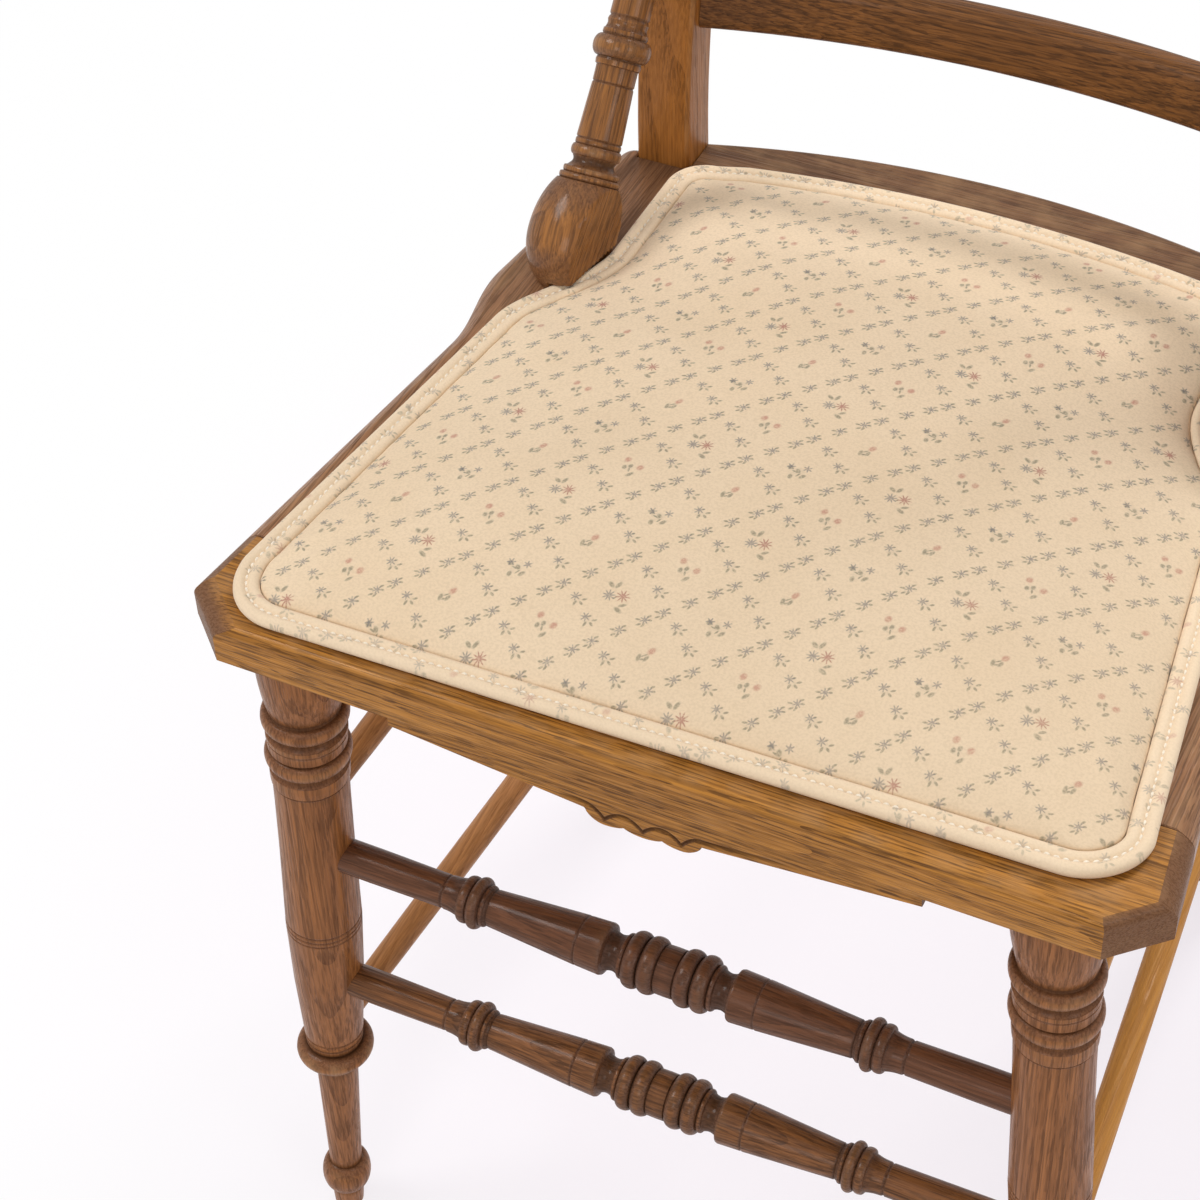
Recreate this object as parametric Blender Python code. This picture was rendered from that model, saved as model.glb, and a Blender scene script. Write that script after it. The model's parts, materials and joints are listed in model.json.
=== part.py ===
"""Oak side chair with turned legs, hip braces, a bowed back and a padded seat, in metres with +Z up.

The plan is drawn with y = 0 at the front edge of the seat's flat top and y growing towards the back.
Every piece hangs on one empty, which sets the chair's footprint on the origin at the end.
"""

import math

import bmesh
import bpy
import numpy as np
from mathutils import Matrix, Vector

# Fits shared by every joint
GAP = 0.0003  # clearance between faces that meet, and all round a tenon in its socket
WELD = 0.00001  # points closer than this are one point
SOCKET_DEPTH = 0.013  # how far a round tenon enters a leg, post or rail

# Seat frame
SEAT_TOP = 0.455
RAIL_THICK = 0.022
NOSE = 0.008  # rounding of the outer edges, top and bottom
FRONT_NOSE = 0.0045  # the front edge is squarer
FRONT_HALF = 0.1955  # half the straight front edge, up to the clipped corner
CLIP_X = 0.0223  # clipped corner, across and back
CLIP_Y = 0.0245
EDGE_TAPER = 0.1236  # how fast the sides close in towards the back
EAR_START = 0.205  # the sides swell out into an ear under the hip braces
EAR_RUN = 0.057
EAR_SWELL = 0.0118
FRONT_RAIL_BACK = 0.0509  # the seam where the side rails butt the front rail
SIDE_RAIL_END = 0.378
END_ROUND = 0.010
BACK_RAIL_FRONT = 0.325
BACK_RAIL_REAR = 0.4148  # rear edge at the centre line, bowed by the radius below
BACK_RAIL_BOW = 0.472
BACK_RAIL_NOSE = 0.003
DOWEL_RADIUS = 0.004
DOWEL_HALF = 0.014  # each dowel reaches this far into either rail
DOWEL_PITCH = 0.020

# Rear posts, each one a back stile and a rear leg in one bent piece
POST_SET_IN = 0.0495  # posts' inner faces, in from the ends of the front edge
POST_INNER = FRONT_HALF - POST_SET_IN
POST_WIDTH = 0.028
POST_FRONT = 0.3666
POST_DEPTH = 0.026
POST_TOP_DEPTH = 0.021
POST_TOP = 0.945
POST_CHAMFER = 0.002
BEND_HEIGHT = 0.095  # the stile bends back over this height above the seat
LEAN = 0.245  # its slope above the bend
RAKE_START = 0.36  # the rear leg kicks back below this height
RAKE = 0.050
SCREW_RADIUS = 0.0022
SCREW_HEAD_RADIUS = 0.0045
SCREW_REACH = 0.030  # into the side rail
SCREW_OUT = 0.021  # from the post's inner face, clear of the dowels
FINIAL_HEIGHT = 0.040
FINIAL_RADIUS = 0.0125
FINIAL_PIN_RADIUS = 0.005

# Back rails between the posts
BACK_BOW = 0.56
BACK_SETBACK = 0.007  # the rails stand this far behind the posts' front face
BACK_THICK = 0.015
BACK_EDGE = 0.003
SHOULDER = 0.003  # a tenon is this much smaller than its rail, all round
LOWER_RAIL_BOTTOM = 0.5263
LOWER_RAIL_HEIGHT = 0.027
MIDDLE_RAIL_BOTTOM = 0.640
MIDDLE_RAIL_HEIGHT = 0.046
CREST_BOTTOM = 0.815
CREST_END_HEIGHT = 0.098
CREST_RISE = 0.060  # how far the crest's top edge rises at the centre
CREST_DIP = 0.010  # how far its bottom edge drops at the centre
SPINDLE_COUNT = 5
SPINDLE_PITCH = 0.048
SPINDLE_END = 0.0045
SPINDLE_RADIUS = 0.0085

# Front legs, splayed sideways and turned
LEG_SET_IN = 0.026  # axis at the height of the seat's top, in from the end of the front edge
LEG_SPLAY = 0.0249  # how far the foot stands out from there
LEG_TOP_X = FRONT_HALF - LEG_SET_IN
LEG_FOOT_X = LEG_TOP_X + LEG_SPLAY
LEG_Y = 0.0215
LEG_PIN_RADIUS = 0.011
LEG_PIN_LENGTH = 0.016
LEG_RADIUS = 0.0183
LEG_RING = 0.0191

# Stretchers
UPPER_STRETCHER_Z = 0.2951
LOWER_STRETCHER_Z = 0.2005
UPPER_OFFSET = 0.002  # the turnings sit a little off the centre line
LOWER_OFFSET = -0.0041
STRETCHER_END = 0.0083
STRETCHER_WAIST = 0.0079
STRETCHER_SHOULDER = 0.0122
SIDE_STRETCHER_END = 0.0065
SIDE_STRETCHER_RADIUS = 0.0073
SIDE_UPPER_FRONT_Z = 0.3229
SIDE_UPPER_REAR_Z = 0.338
SIDE_LOWER_FRONT_Z = 0.1533
SIDE_LOWER_REAR_Z = 0.165
REAR_STRETCHER_Z = 0.245

# Hip braces, turned and bent back into the posts
BALL_SET_OUT = 0.016  # ball centre, out from the post's inner face
BALL_X = POST_INNER + BALL_SET_OUT
BALL_Y = 0.274
BALL_RISE = 0.017  # ball centre above the seat
BALL_RADIUS = 0.022
BALL_HALF_LENGTH = 0.028
FACET = 0.0077  # the ball is cut flat this far from its centre, beside the pad
FACET_TURN = math.radians(9)  # the flat turns this far towards the front
RELIEF = 0.006  # low down it is cut further back, where the welt tucks under it
RELIEF_TURN = math.radians(23)
BRACE_SLOPE = 0.80
BRACE_STRAIGHT = 0.126  # straight run from the ball centre
BRACE_BEND = 0.050
BRACE_TURN = math.radians(41)
BRACE_RADIUS = 0.0095
BRACE_PIN_RADIUS = 0.006
BRACE_PIN_OUT = 0.005  # the pin under the ball stands off its centre, clear of the flat
BRACE_PIN_FORWARD = 0.006
BRACE_PIN_LENGTH = 0.014

# Apron under the front rail
APRON_SET_IN = 0.0749  # ends of the apron, in from the ends of the front edge
APRON_HALF = FRONT_HALF - APRON_SET_IN
APRON_FRONT = 0.010
APRON_THICK = 0.018
APRON_END_HEIGHT = 0.0205
APRON_FALL = 0.0085  # how much deeper the edge is next to the lobes
APRON_TONGUE = 0.006
LOBE_PITCH = 0.0193
LOBE_COUNT = 3
LOBE_DROP = 0.0095
LOBE_CUSP = 0.0055

# Padded seat
BOARD_THICK = 0.006
BOARD_SHARE = 0.88  # the board is the pad's outline drawn towards its centre
PAD_FRONT = 0.0055
PAD_SKEW = 0.024  # the front edge is tacked on a little askew
PAD_SIDE_MARGIN = 0.0145  # wood left showing beside the pad
PAD_CORNER = 0.030
PAD_NOTCH_START = 0.222
PAD_NOTCH_RUN = 0.066
PAD_POST_MARGIN = 0.003  # the pad's rear sides stand this far outside the posts' inner faces
PAD_BACK = 0.3845
PAD_BACK_BOW = 0.60
PAD_BACK_CORNER = 0.020
PAD_EDGE = 0.010
PAD_CROWN = 0.030
WELT_RADIUS = 0.003
WELT_PITCH = 0.0057

# How finely round work is cut
LEG_SIDES = 14
ROD_SIDES = 10
PEG_SIDES = 10

SIDES = (("left", -1), ("right", 1))


def smooth_step(value):
    """Ease from 0 to 1 as the value goes from 0 to 1."""
    value = min(max(value, 0.0), 1.0)
    return value * value * (3.0 - 2.0 * value)


def seat_edge(y):
    """Half-width of the seat's outer edge at y: a straight taper, plus the ear."""
    taper = FRONT_HALF + CLIP_X - EDGE_TAPER * (y + NOSE - CLIP_Y)
    return taper + EAR_SWELL * smooth_step((y - EAR_START) / EAR_RUN)


def post_face(z):
    """y of a post's front face: raked below the seat, upright at it, then bent back and straight."""
    if z < RAKE_START:
        return POST_FRONT + RAKE * ((RAKE_START - z) / RAKE_START) ** 1.6
    rise = max(z - SEAT_TOP, 0.0)
    bent = min(rise, BEND_HEIGHT)
    return POST_FRONT + LEAN * (bent * bent / (2.0 * BEND_HEIGHT) + rise - bent)


def post_depth(z):
    """Depth of a post, tapering above the seat."""
    share = max(z - SEAT_TOP, 0.0) / (POST_TOP - SEAT_TOP)
    return POST_DEPTH + (POST_TOP_DEPTH - POST_DEPTH) * share


def post_middle(side, z):
    """Point on a post's centre line."""
    return Vector((side * (POST_INNER + POST_WIDTH / 2), post_face(z) + post_depth(z) / 2, z))


def back_face(x, z):
    """y of the front face of the bowed back rails."""
    return post_face(z) + BACK_SETBACK + (POST_INNER**2 - x * x) / (2.0 * BACK_BOW)


def leg_axis(side, z):
    """Point on a front leg's axis."""
    return Vector((side * (LEG_FOOT_X + (LEG_TOP_X - LEG_FOOT_X) * z / SEAT_TOP), LEG_Y, z))


def crest_bottom(x):
    """Height of the crest's lower edge: level at the posts, dropping in the middle."""
    return CREST_BOTTOM - CREST_DIP * smooth_step(1.0 - abs(x) / (0.8 * POST_INNER))


def crest_top(x):
    """Height of the crest's upper edge: shoulders at the posts, a dip, then a rounded centre."""
    share = abs(x) / POST_INNER
    centre = CREST_RISE * smooth_step((0.95 - share) / 0.75)
    return CREST_BOTTOM + CREST_END_HEIGHT + centre


def bead(centre, half, low, high):
    """A rounded ring on a turned profile, as (height, radius) pairs."""
    steps = [math.radians(angle) for angle in (180, 135, 90, 45, 0)]
    return [(centre + half * math.cos(a), low + (high - low) * math.sin(a)) for a in steps]


def material(name, colour, roughness, metallic=0.0):
    """A plain finish."""
    made = bpy.data.materials.new(name)
    made.use_nodes = True
    shader = made.node_tree.nodes["Principled BSDF"]
    shader.inputs["Base Color"].default_value = (*colour, 1.0)
    shader.inputs["Roughness"].default_value = roughness
    shader.inputs["Metallic"].default_value = metallic
    return made


def link(name, mesh, finish=None, cutter=False):
    """Put a mesh in the scene as a named piece, or as a hidden cutter."""
    piece = bpy.data.objects.new(name, mesh)
    bpy.context.scene.collection.objects.link(piece)
    piece.parent = bpy.data.objects["chair"]
    if cutter:
        piece.hide_render = True
        piece.display_type = "WIRE"
    else:
        mesh.materials.append(finish)
        mesh.shade_smooth()
        mesh.set_sharp_from_angle(angle=math.radians(35))
    return piece


def finish_mesh(bm, name):
    """Weld, face outwards and hand over a bmesh."""
    bmesh.ops.remove_doubles(bm, verts=bm.verts, dist=WELD)
    bmesh.ops.recalc_face_normals(bm, faces=bm.faces)
    if bm.calc_volume(signed=True) < 0.0:
        bmesh.ops.reverse_faces(bm, faces=bm.faces)
    mesh = bpy.data.meshes.new(name)
    bm.to_mesh(mesh)
    bm.free()
    return mesh


def turned_mesh(name, profile, sides):
    """A solid of revolution about Z from (height, radius) pairs that run upwards."""
    bm = bmesh.new()
    outline = [(profile[0][0], 0.0), *profile, (profile[-1][0], 0.0)]
    points = [bm.verts.new((radius, 0.0, height)) for height, radius in outline]
    edges = [bm.edges.new(pair) for pair in zip(points, points[1:])]
    bmesh.ops.spin(
        bm,
        geom=points + edges,
        axis=(0.0, 0.0, 1.0),
        cent=(0.0, 0.0, 0.0),
        angle=2.0 * math.pi,
        steps=sides,
        use_merge=True,
    )
    return finish_mesh(bm, name)


def loft_mesh(name, rings, closed=False):
    """A skin over rings of equal length: capped at both ends, or closed on itself."""
    bm = bmesh.new()
    skins = [[bm.verts.new(point) for point in ring] for ring in rings]
    pairs = list(zip(skins, skins[1:]))
    if closed:
        pairs.append((skins[-1], skins[0]))
    for low, high in pairs:
        for i, corner in enumerate(low):
            j = (i + 1) % len(low)
            bm.faces.new((corner, low[j], high[j], high[i]))
    if not closed:
        caps = [bm.faces.new(reversed(skins[0])), bm.faces.new(skins[-1])]
        bmesh.ops.triangulate(bm, faces=caps)
    return finish_mesh(bm, name)


def point_along(piece, start, end):
    """Set a turned piece on the line from start to end."""
    piece.location = start
    piece.rotation_mode = "QUATERNION"
    piece.rotation_quaternion = (Vector(end) - Vector(start)).to_track_quat("Z", "Y")
    return piece


def turned(name, profile, sides, finish, start, end):
    """A turned piece whose height runs from start towards end."""
    return point_along(link(name, turned_mesh(name, profile, sides), finish), start, end)


def cut(host, cutter):
    """Cut a hidden solid out of a piece."""
    boolean = host.modifiers.new(cutter.name, "BOOLEAN")
    boolean.operation = "DIFFERENCE"
    boolean.solver = "EXACT"
    boolean.object = cutter


def join(host, added):
    """Fuse a hidden solid to a piece, such as a pin to its shank."""
    boolean = host.modifiers.new(added.name, "BOOLEAN")
    boolean.operation = "UNION"
    boolean.solver = "EXACT"
    boolean.object = added


def bore(host, start, end, radius):
    """Drill a socket from start (the blind end) to end, past the surface."""
    start, end = Vector(start), Vector(end)
    back = (start - end).normalized() * GAP
    length = (end - start).length + GAP
    wide = (radius + GAP) / math.cos(math.pi / PEG_SIDES)
    mesh = turned_mesh("socket", [(0.0, wide), (length, wide)], PEG_SIDES)
    cut(host, point_along(link("socket", mesh, cutter=True), start + back, end))


def box_cutter(low, high):
    """A hidden block between two corners."""
    bm = bmesh.new()
    bmesh.ops.create_cube(bm, size=1.0)
    low, high = Vector(low), Vector(high)
    size = Matrix.Diagonal((*(high - low), 1.0))
    bmesh.ops.transform(bm, matrix=Matrix.Translation((low + high) / 2) @ size, verts=bm.verts)
    return link("block", finish_mesh(bm, "block"), cutter=True)


def inset(outline, drawn_in):
    """Move each edge of a counter-clockwise outline inwards by its own distance."""
    count = len(outline)
    moved = []
    for i in range(count):
        before, here, after = (Vector(outline[k % count]) for k in (i - 1, i, i + 1))
        first = (here - before).normalized()
        second = (after - here).normalized()
        across = first.cross(second)
        shift_first = Vector((-first.y, first.x)) * drawn_in[i - 1]
        shift_second = Vector((-second.y, second.x)) * drawn_in[i]
        if abs(across) < 1e-5:
            moved.append(here + shift_second)
            continue
        slide = (shift_second - shift_first).cross(second) / across
        moved.append(here + shift_first + first * slide)
    return moved


def nose_levels(low, high, radius, steps=3):
    """Height and inset of each level of a board with rounded edges, from the bottom up."""
    turns = [math.pi / 2 * k / steps for k in range(steps + 1)]
    under = [(low + radius * (1 - math.cos(a)), radius * (1 - math.sin(a))) for a in turns]
    over = [(high - radius * (1 - math.cos(a)), radius * (1 - math.sin(a))) for a in turns]
    return under + over[::-1]


def board_mesh(name, outline, rounded, levels):
    """A board cut to an outline, with the chosen edges drawn in at each level."""
    rings = []
    for height, depth in levels:
        ring = inset(outline, [depth * float(edge) for edge in rounded])
        rings.append([(point.x, point.y, height) for point in ring])
    return loft_mesh(name, rings)


def mirrored(outline, rounded):
    """The outline and its edge flags on the other side of the chair."""
    flipped = [(-x, y) for x, y in reversed(outline)]
    edges = rounded[::-1]
    return flipped, edges[1:] + edges[:1]


def seat_levels(radius):
    """Levels of the seat frame's boards."""
    return nose_levels(SEAT_TOP - RAIL_THICK, SEAT_TOP, radius)


def make_front_rail(finish):
    """Full-width board with clipped front corners and a groove for the apron's tongue."""
    clip = FRONT_HALF + CLIP_X
    back = FRONT_RAIL_BACK
    right = [(FRONT_HALF, -FRONT_NOSE), (clip, CLIP_Y - NOSE), (seat_edge(back), back)]
    outline = [*[(-x, y) for x, y in reversed(right)], *right]
    rounded = [1.0, 1.0, FRONT_NOSE / NOSE, 1.0, 1.0, 0.0]
    rail = link("seat_front_rail", board_mesh("front_rail", outline, rounded, seat_levels(NOSE)), finish)
    bottom = SEAT_TOP - RAIL_THICK
    tongue = apron_tongue(GAP)
    cut(rail, box_cutter((tongue[0][0], tongue[0][1], bottom - NOSE), tongue[1]))
    for side in (-1, 1):
        foot = leg_axis(side, bottom)
        bore(rail, leg_axis(side, bottom + LEG_PIN_LENGTH), foot - Vector((0, 0, NOSE)), LEG_PIN_RADIUS)
    return rail


def make_side_rail(name, side, finish):
    """Board from the front rail to the post, eared under the brace and notched round the post."""
    front = FRONT_RAIL_BACK + GAP
    outer_post = POST_INNER + POST_WIDTH + GAP
    notch = POST_FRONT - GAP
    edge_stations = [front, 0.12, 0.18, *np.linspace(EAR_START, EAR_START + EAR_RUN, 6), 0.31]
    edge = [(seat_edge(float(y)), float(y)) for y in edge_stations]
    turn_y = SIDE_RAIL_END - END_ROUND
    turn_x = seat_edge(turn_y) - END_ROUND
    turns = [math.radians(angle) for angle in (0, 30, 60, 90)]
    corner = [(turn_x + END_ROUND * math.cos(a), turn_y + END_ROUND * math.sin(a)) for a in turns]
    inside = [(outer_post, SIDE_RAIL_END), (outer_post, notch), (POST_INNER, notch), (POST_INNER, front)]
    outline = edge + corner + inside
    rounded = [True] * (len(edge) + len(corner)) + [False] * len(inside)
    if side < 0:
        outline, rounded = mirrored(outline, rounded)
    mesh = board_mesh(name, outline, rounded, seat_levels(min(NOSE, turn_x + END_ROUND - outer_post - 0.002)))
    return link(name, mesh, finish)


def back_rail_edge(x):
    """y of the seat's bowed rear edge."""
    return BACK_RAIL_REAR - x * x / (2.0 * BACK_RAIL_BOW)


def make_back_rail(finish):
    """Board between the side rails and the posts, with a bowed rear edge."""
    half = POST_INNER - GAP
    rear = [(float(x), back_rail_edge(float(x))) for x in np.linspace(half, -half, 13)]
    outline = [(-half, BACK_RAIL_FRONT), (half, BACK_RAIL_FRONT), *rear]
    rounded = [False, False] + [True] * (len(rear) - 1) + [False]
    mesh = board_mesh("back_rail", outline, rounded, seat_levels(BACK_RAIL_NOSE))
    return link("seat_back_rail", mesh, finish)


def make_seat_dowels(front, sides, back, finish):
    """Two dowels in each of the seat frame's four joints, in holes drilled in both boards."""
    height = SEAT_TOP - RAIL_THICK / 2
    reach = DOWEL_HALF - GAP
    profile = [(-reach, DOWEL_RADIUS), (reach, DOWEL_RADIUS)]
    seam_front = Vector((0, FRONT_RAIL_BACK + GAP / 2, height))
    middle_front = (POST_INNER + seat_edge(FRONT_RAIL_BACK)) / 2
    middle_back = (BACK_RAIL_FRONT + POST_FRONT) / 2
    for word, side in SIDES:
        for number, step in enumerate((-0.5, 0.5), start=1):
            for end, at, along, hosts in (
                ("front", seam_front + Vector((side * (middle_front + step * DOWEL_PITCH), 0, 0)),
                 Vector((0, 1, 0)), (front, sides[side])),
                ("back", Vector((side * (POST_INNER - GAP / 2), middle_back + step * DOWEL_PITCH, height)),
                 Vector((1, 0, 0)), (back, sides[side])),
            ):
                for host in hosts:
                    bore(host, at - along * reach, at + along * DOWEL_HALF, DOWEL_RADIUS)
                turned(f"dowel_{end}_{word}_{number}", profile, PEG_SIDES, finish, at, at + along)


def leg_profile():
    """A front leg from its foot to its pin, as (height, radius) pairs."""
    top = SEAT_TOP - RAIL_THICK - GAP
    ring = LEG_RING
    shaft = LEG_RADIUS
    return [
        (0.0, 0.0075), (0.012, 0.0082),
        *bead(0.0278, 0.0105, 0.0082, 0.0127),
        (0.046, 0.0086), (0.126, 0.0105),
        *bead(0.1305, 0.0028, 0.0112, 0.0128),
        *bead(0.1401, 0.0058, 0.0135, ring + 0.0002),
        (0.152, 0.0138), (0.200, shaft - 0.0012), (0.243, shaft), (0.295, shaft - 0.0011),
        (0.336, 0.0168), (0.338, 0.0164), (0.340, 0.0171), (0.3515, 0.0172),
        *bead(0.3596, 0.0060, 0.0168, ring),
        (0.3735, 0.0172),
        *bead(0.3859, 0.0062, 0.0166, ring),
        (0.3945, 0.0163), (0.4005, 0.0183), (0.410, 0.0197), (top, 0.0200),
        (top, LEG_PIN_RADIUS), (top + LEG_PIN_LENGTH - GAP, LEG_PIN_RADIUS),
    ]


def make_front_legs(finish):
    """Turned legs, leaned by a shear so that the foot and the shoulder stay level."""
    legs = {}
    for word, side in SIDES:
        mesh = turned_mesh("front_leg", leg_profile(), LEG_SIDES)
        lean = Matrix.Identity(4)
        lean[0][2] = side * (LEG_TOP_X - LEG_FOOT_X) / SEAT_TOP
        mesh.transform(lean)
        legs[side] = link(f"front_leg_{word}", mesh, finish)
        legs[side].location = leg_axis(side, 0.0)
    return legs


def post_ring(side, z):
    """Level section through a post, with its four edges eased."""
    inner, outer = POST_INNER, POST_INNER + POST_WIDTH
    front, rear = post_face(z), post_face(z) + post_depth(z)
    ease = POST_CHAMFER
    corners = [
        (inner + ease, front), (outer - ease, front), (outer, front + ease), (outer, rear - ease),
        (outer - ease, rear), (inner + ease, rear), (inner, rear - ease), (inner, front + ease),
    ]
    ring = [(side * x, y, z) for x, y in corners]
    return ring if side > 0 else ring[::-1]


def make_posts(finish):
    """Bent posts that run from the floor to the crest."""
    raked = np.linspace(0.0, RAKE_START, 5)
    bent = np.linspace(SEAT_TOP, SEAT_TOP + BEND_HEIGHT, 5)
    heights = [*raked, *bent, POST_TOP]
    posts = {}
    for word, side in SIDES:
        rings = [post_ring(side, float(z)) for z in heights]
        posts[side] = link(f"rear_post_{word}", loft_mesh("rear_post", rings), finish)
    return posts


def make_post_screws(posts, sides, finish):
    """A countersunk screw through each post into the end of its side rail."""
    height = SEAT_TOP - RAIL_THICK / 2
    rear = post_face(height) + post_depth(height)
    length = post_depth(height) + SCREW_REACH
    for word, side in SIDES:
        head = Vector((side * (POST_INNER + SCREW_OUT), rear - GAP, height))
        tip = head - Vector((0, length, 0))
        for radius_gap, tip_gap in ((0.0, 0.0), (GAP, GAP)):
            profile = [
                (-tip_gap, SCREW_RADIUS + radius_gap),
                (length - SCREW_HEAD_RADIUS, SCREW_RADIUS + radius_gap),
                (length, SCREW_HEAD_RADIUS + radius_gap),
            ]
            if not radius_gap:
                turned(f"post_screw_{word}", profile, PEG_SIDES, finish, tip, head)
                continue
            profile.append((length + NOSE, SCREW_HEAD_RADIUS + radius_gap))
            hole = link("screw_hole", turned_mesh("screw_hole", profile, PEG_SIDES), cutter=True)
            point_along(hole, tip, head)
            cut(posts[side], hole)
            cut(sides[side], hole)


def make_finials(posts, finish):
    """Turned knobs pinned into the tops of the posts."""
    profile = [
        (GAP - SOCKET_DEPTH, FINIAL_PIN_RADIUS), (GAP, FINIAL_PIN_RADIUS), (GAP, FINIAL_RADIUS * 0.72),
        (0.10 * FINIAL_HEIGHT, FINIAL_RADIUS * 0.74), (0.22 * FINIAL_HEIGHT, FINIAL_RADIUS * 0.52),
        (0.32 * FINIAL_HEIGHT, FINIAL_RADIUS * 0.60),
        *bead(0.62 * FINIAL_HEIGHT, 0.26 * FINIAL_HEIGHT, FINIAL_RADIUS * 0.6, FINIAL_RADIUS),
        (0.96 * FINIAL_HEIGHT, FINIAL_RADIUS * 0.36), (FINIAL_HEIGHT, FINIAL_RADIUS * 0.16),
    ]
    for word, side in SIDES:
        seat = post_middle(side, POST_TOP)
        turned(f"finial_{word}", profile, PEG_SIDES, finish, seat, seat + Vector((0, 0, 1)))
        low = seat - Vector((0, 0, SOCKET_DEPTH))
        bore(posts[side], low, seat + Vector((0, 0, SOCKET_DEPTH)), FINIAL_PIN_RADIUS)


def rail_ring(x, low, high, drawn_in):
    """Section of a bowed back rail at x, drawn in on every side for a tenon."""
    low, high = low + drawn_in, high - drawn_in
    ease = BACK_EDGE if drawn_in <= 0.0 else SHOULDER / 4
    front, rear = drawn_in, BACK_THICK - drawn_in
    corners = [
        (front, low + ease), (front, high - ease), (front + ease, high), (rear - ease, high),
        (rear, high - ease), (rear, low + ease), (rear - ease, low), (front + ease, low),
    ]
    return [(x, back_face(x, z) + depth, z) for depth, z in corners]


def make_back_rail_between(name, low_edge, high_edge, posts, finish):
    """A bowed rail tenoned into both posts; its edges are heights as functions of x."""
    shoulder = POST_INNER - GAP
    tip = POST_INNER + SOCKET_DEPTH
    rings = [rail_ring(-tip, low_edge(-shoulder), high_edge(-shoulder), SHOULDER)]
    rings.append(rail_ring(-shoulder, low_edge(-shoulder), high_edge(-shoulder), SHOULDER))
    for x in np.linspace(-shoulder, shoulder, 17):
        rings.append(rail_ring(float(x), low_edge(float(x)), high_edge(float(x)), 0.0))
    rings.append(rail_ring(shoulder, low_edge(shoulder), high_edge(shoulder), SHOULDER))
    rings.append(rail_ring(tip, low_edge(shoulder), high_edge(shoulder), SHOULDER))
    rail = link(name, loft_mesh(name, rings), finish)
    for side in (-1, 1):
        ends = sorted((side * (shoulder - SHOULDER), side * (tip + GAP)))
        low, high = low_edge(side * shoulder), high_edge(side * shoulder)
        mortise = [rail_ring(x, low, high, SHOULDER - GAP) for x in ends]
        cut(posts[side], link("mortise", loft_mesh("mortise", mortise), cutter=True))
    return rail


def make_spindles(middle, crest, finish):
    """Short turned spindles from the middle rail up to the crest."""
    low_z = MIDDLE_RAIL_BOTTOM + MIDDLE_RAIL_HEIGHT
    for number in range(SPINDLE_COUNT):
        x = SPINDLE_PITCH * (number - (SPINDLE_COUNT - 1) / 2)
        high_z = crest_bottom(x)
        low = Vector((x, back_face(x, low_z) + BACK_THICK / 2, low_z))
        high = Vector((x, back_face(x, high_z) + BACK_THICK / 2, high_z))
        along = (high - low).normalized()
        span = (high - low).length
        body = SPINDLE_RADIUS
        profile = [
            (-SOCKET_DEPTH, SPINDLE_END), (0.08 * span, SPINDLE_END + 0.0004),
            *bead(0.12 * span, 0.0035, 0.005, 0.0072),
            (0.18 * span, 0.0052), (0.34 * span, 0.92 * body),
            *bead(0.5 * span, 0.004, 0.92 * body, body + 0.001),
            (0.66 * span, 0.92 * body), (0.82 * span, 0.0052),
            *bead(0.88 * span, 0.0035, 0.005, 0.0072),
            (0.92 * span, SPINDLE_END + 0.0004), (span + SOCKET_DEPTH, SPINDLE_END),
        ]
        turned(f"back_spindle_{number + 1}", profile, 8, finish, low, high)
        bore(middle, low - along * SOCKET_DEPTH, low + along * SOCKET_DEPTH, SPINDLE_END + GAP)
        bore(crest, high + along * SOCKET_DEPTH, high - along * SOCKET_DEPTH, SPINDLE_END + GAP)


def stretcher_half():
    """Half of a front stretcher from its centre outwards, as (distance, radius) pairs."""
    shoulder = STRETCHER_SHOULDER
    return [
        (0.0, 0.0115), (0.0044, 0.0114),
        *bead(0.0087, 0.0038, 0.0113, 0.0134),
        *bead(0.0165, 0.0036, 0.0113, 0.0133),
        (0.0206, 0.0104), (0.0228, 0.0104), (0.0240, 0.0088), (0.0290, 0.0088),
        (0.0305, shoulder - 0.0006), (0.0320, shoulder),
        (0.0880, 0.0088), (0.0920, 0.0089), (0.0938, 0.0098), (0.0956, 0.0095),
        *bead(0.0997, 0.0036, 0.0095, 0.0121),
        (0.1040, 0.0092), (0.1064, 0.0094), (0.1085, 0.0084), (0.1125, STRETCHER_WAIST),
    ]


def make_front_stretchers(legs, finish):
    """Two turned stretchers between the front legs."""
    for name, height, offset in (
        ("front_stretcher_upper", UPPER_STRETCHER_Z, UPPER_OFFSET),
        ("front_stretcher_lower", LOWER_STRETCHER_Z, LOWER_OFFSET),
    ):
        tip = leg_axis(1, height).x - LEG_RADIUS + SOCKET_DEPTH
        half = stretcher_half()
        right = [(offset + run, radius) for run, radius in half]
        left = [(offset - run, radius) for run, radius in reversed(half[1:])]
        mouth = tip - 2.0 * SOCKET_DEPTH
        ends = [(mouth, STRETCHER_END), (tip, STRETCHER_END)]
        profile = [(-run, radius) for run, radius in reversed(ends)] + left + right + ends
        centre = Vector((0, LEG_Y, height))
        turned(name, profile, ROD_SIDES, finish, centre, centre + Vector((1, 0, 0)))
        for side in (-1, 1):
            across = Vector((side, 0, 0))
            bore(legs[side], centre + across * tip, centre + across * mouth, STRETCHER_END)


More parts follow.
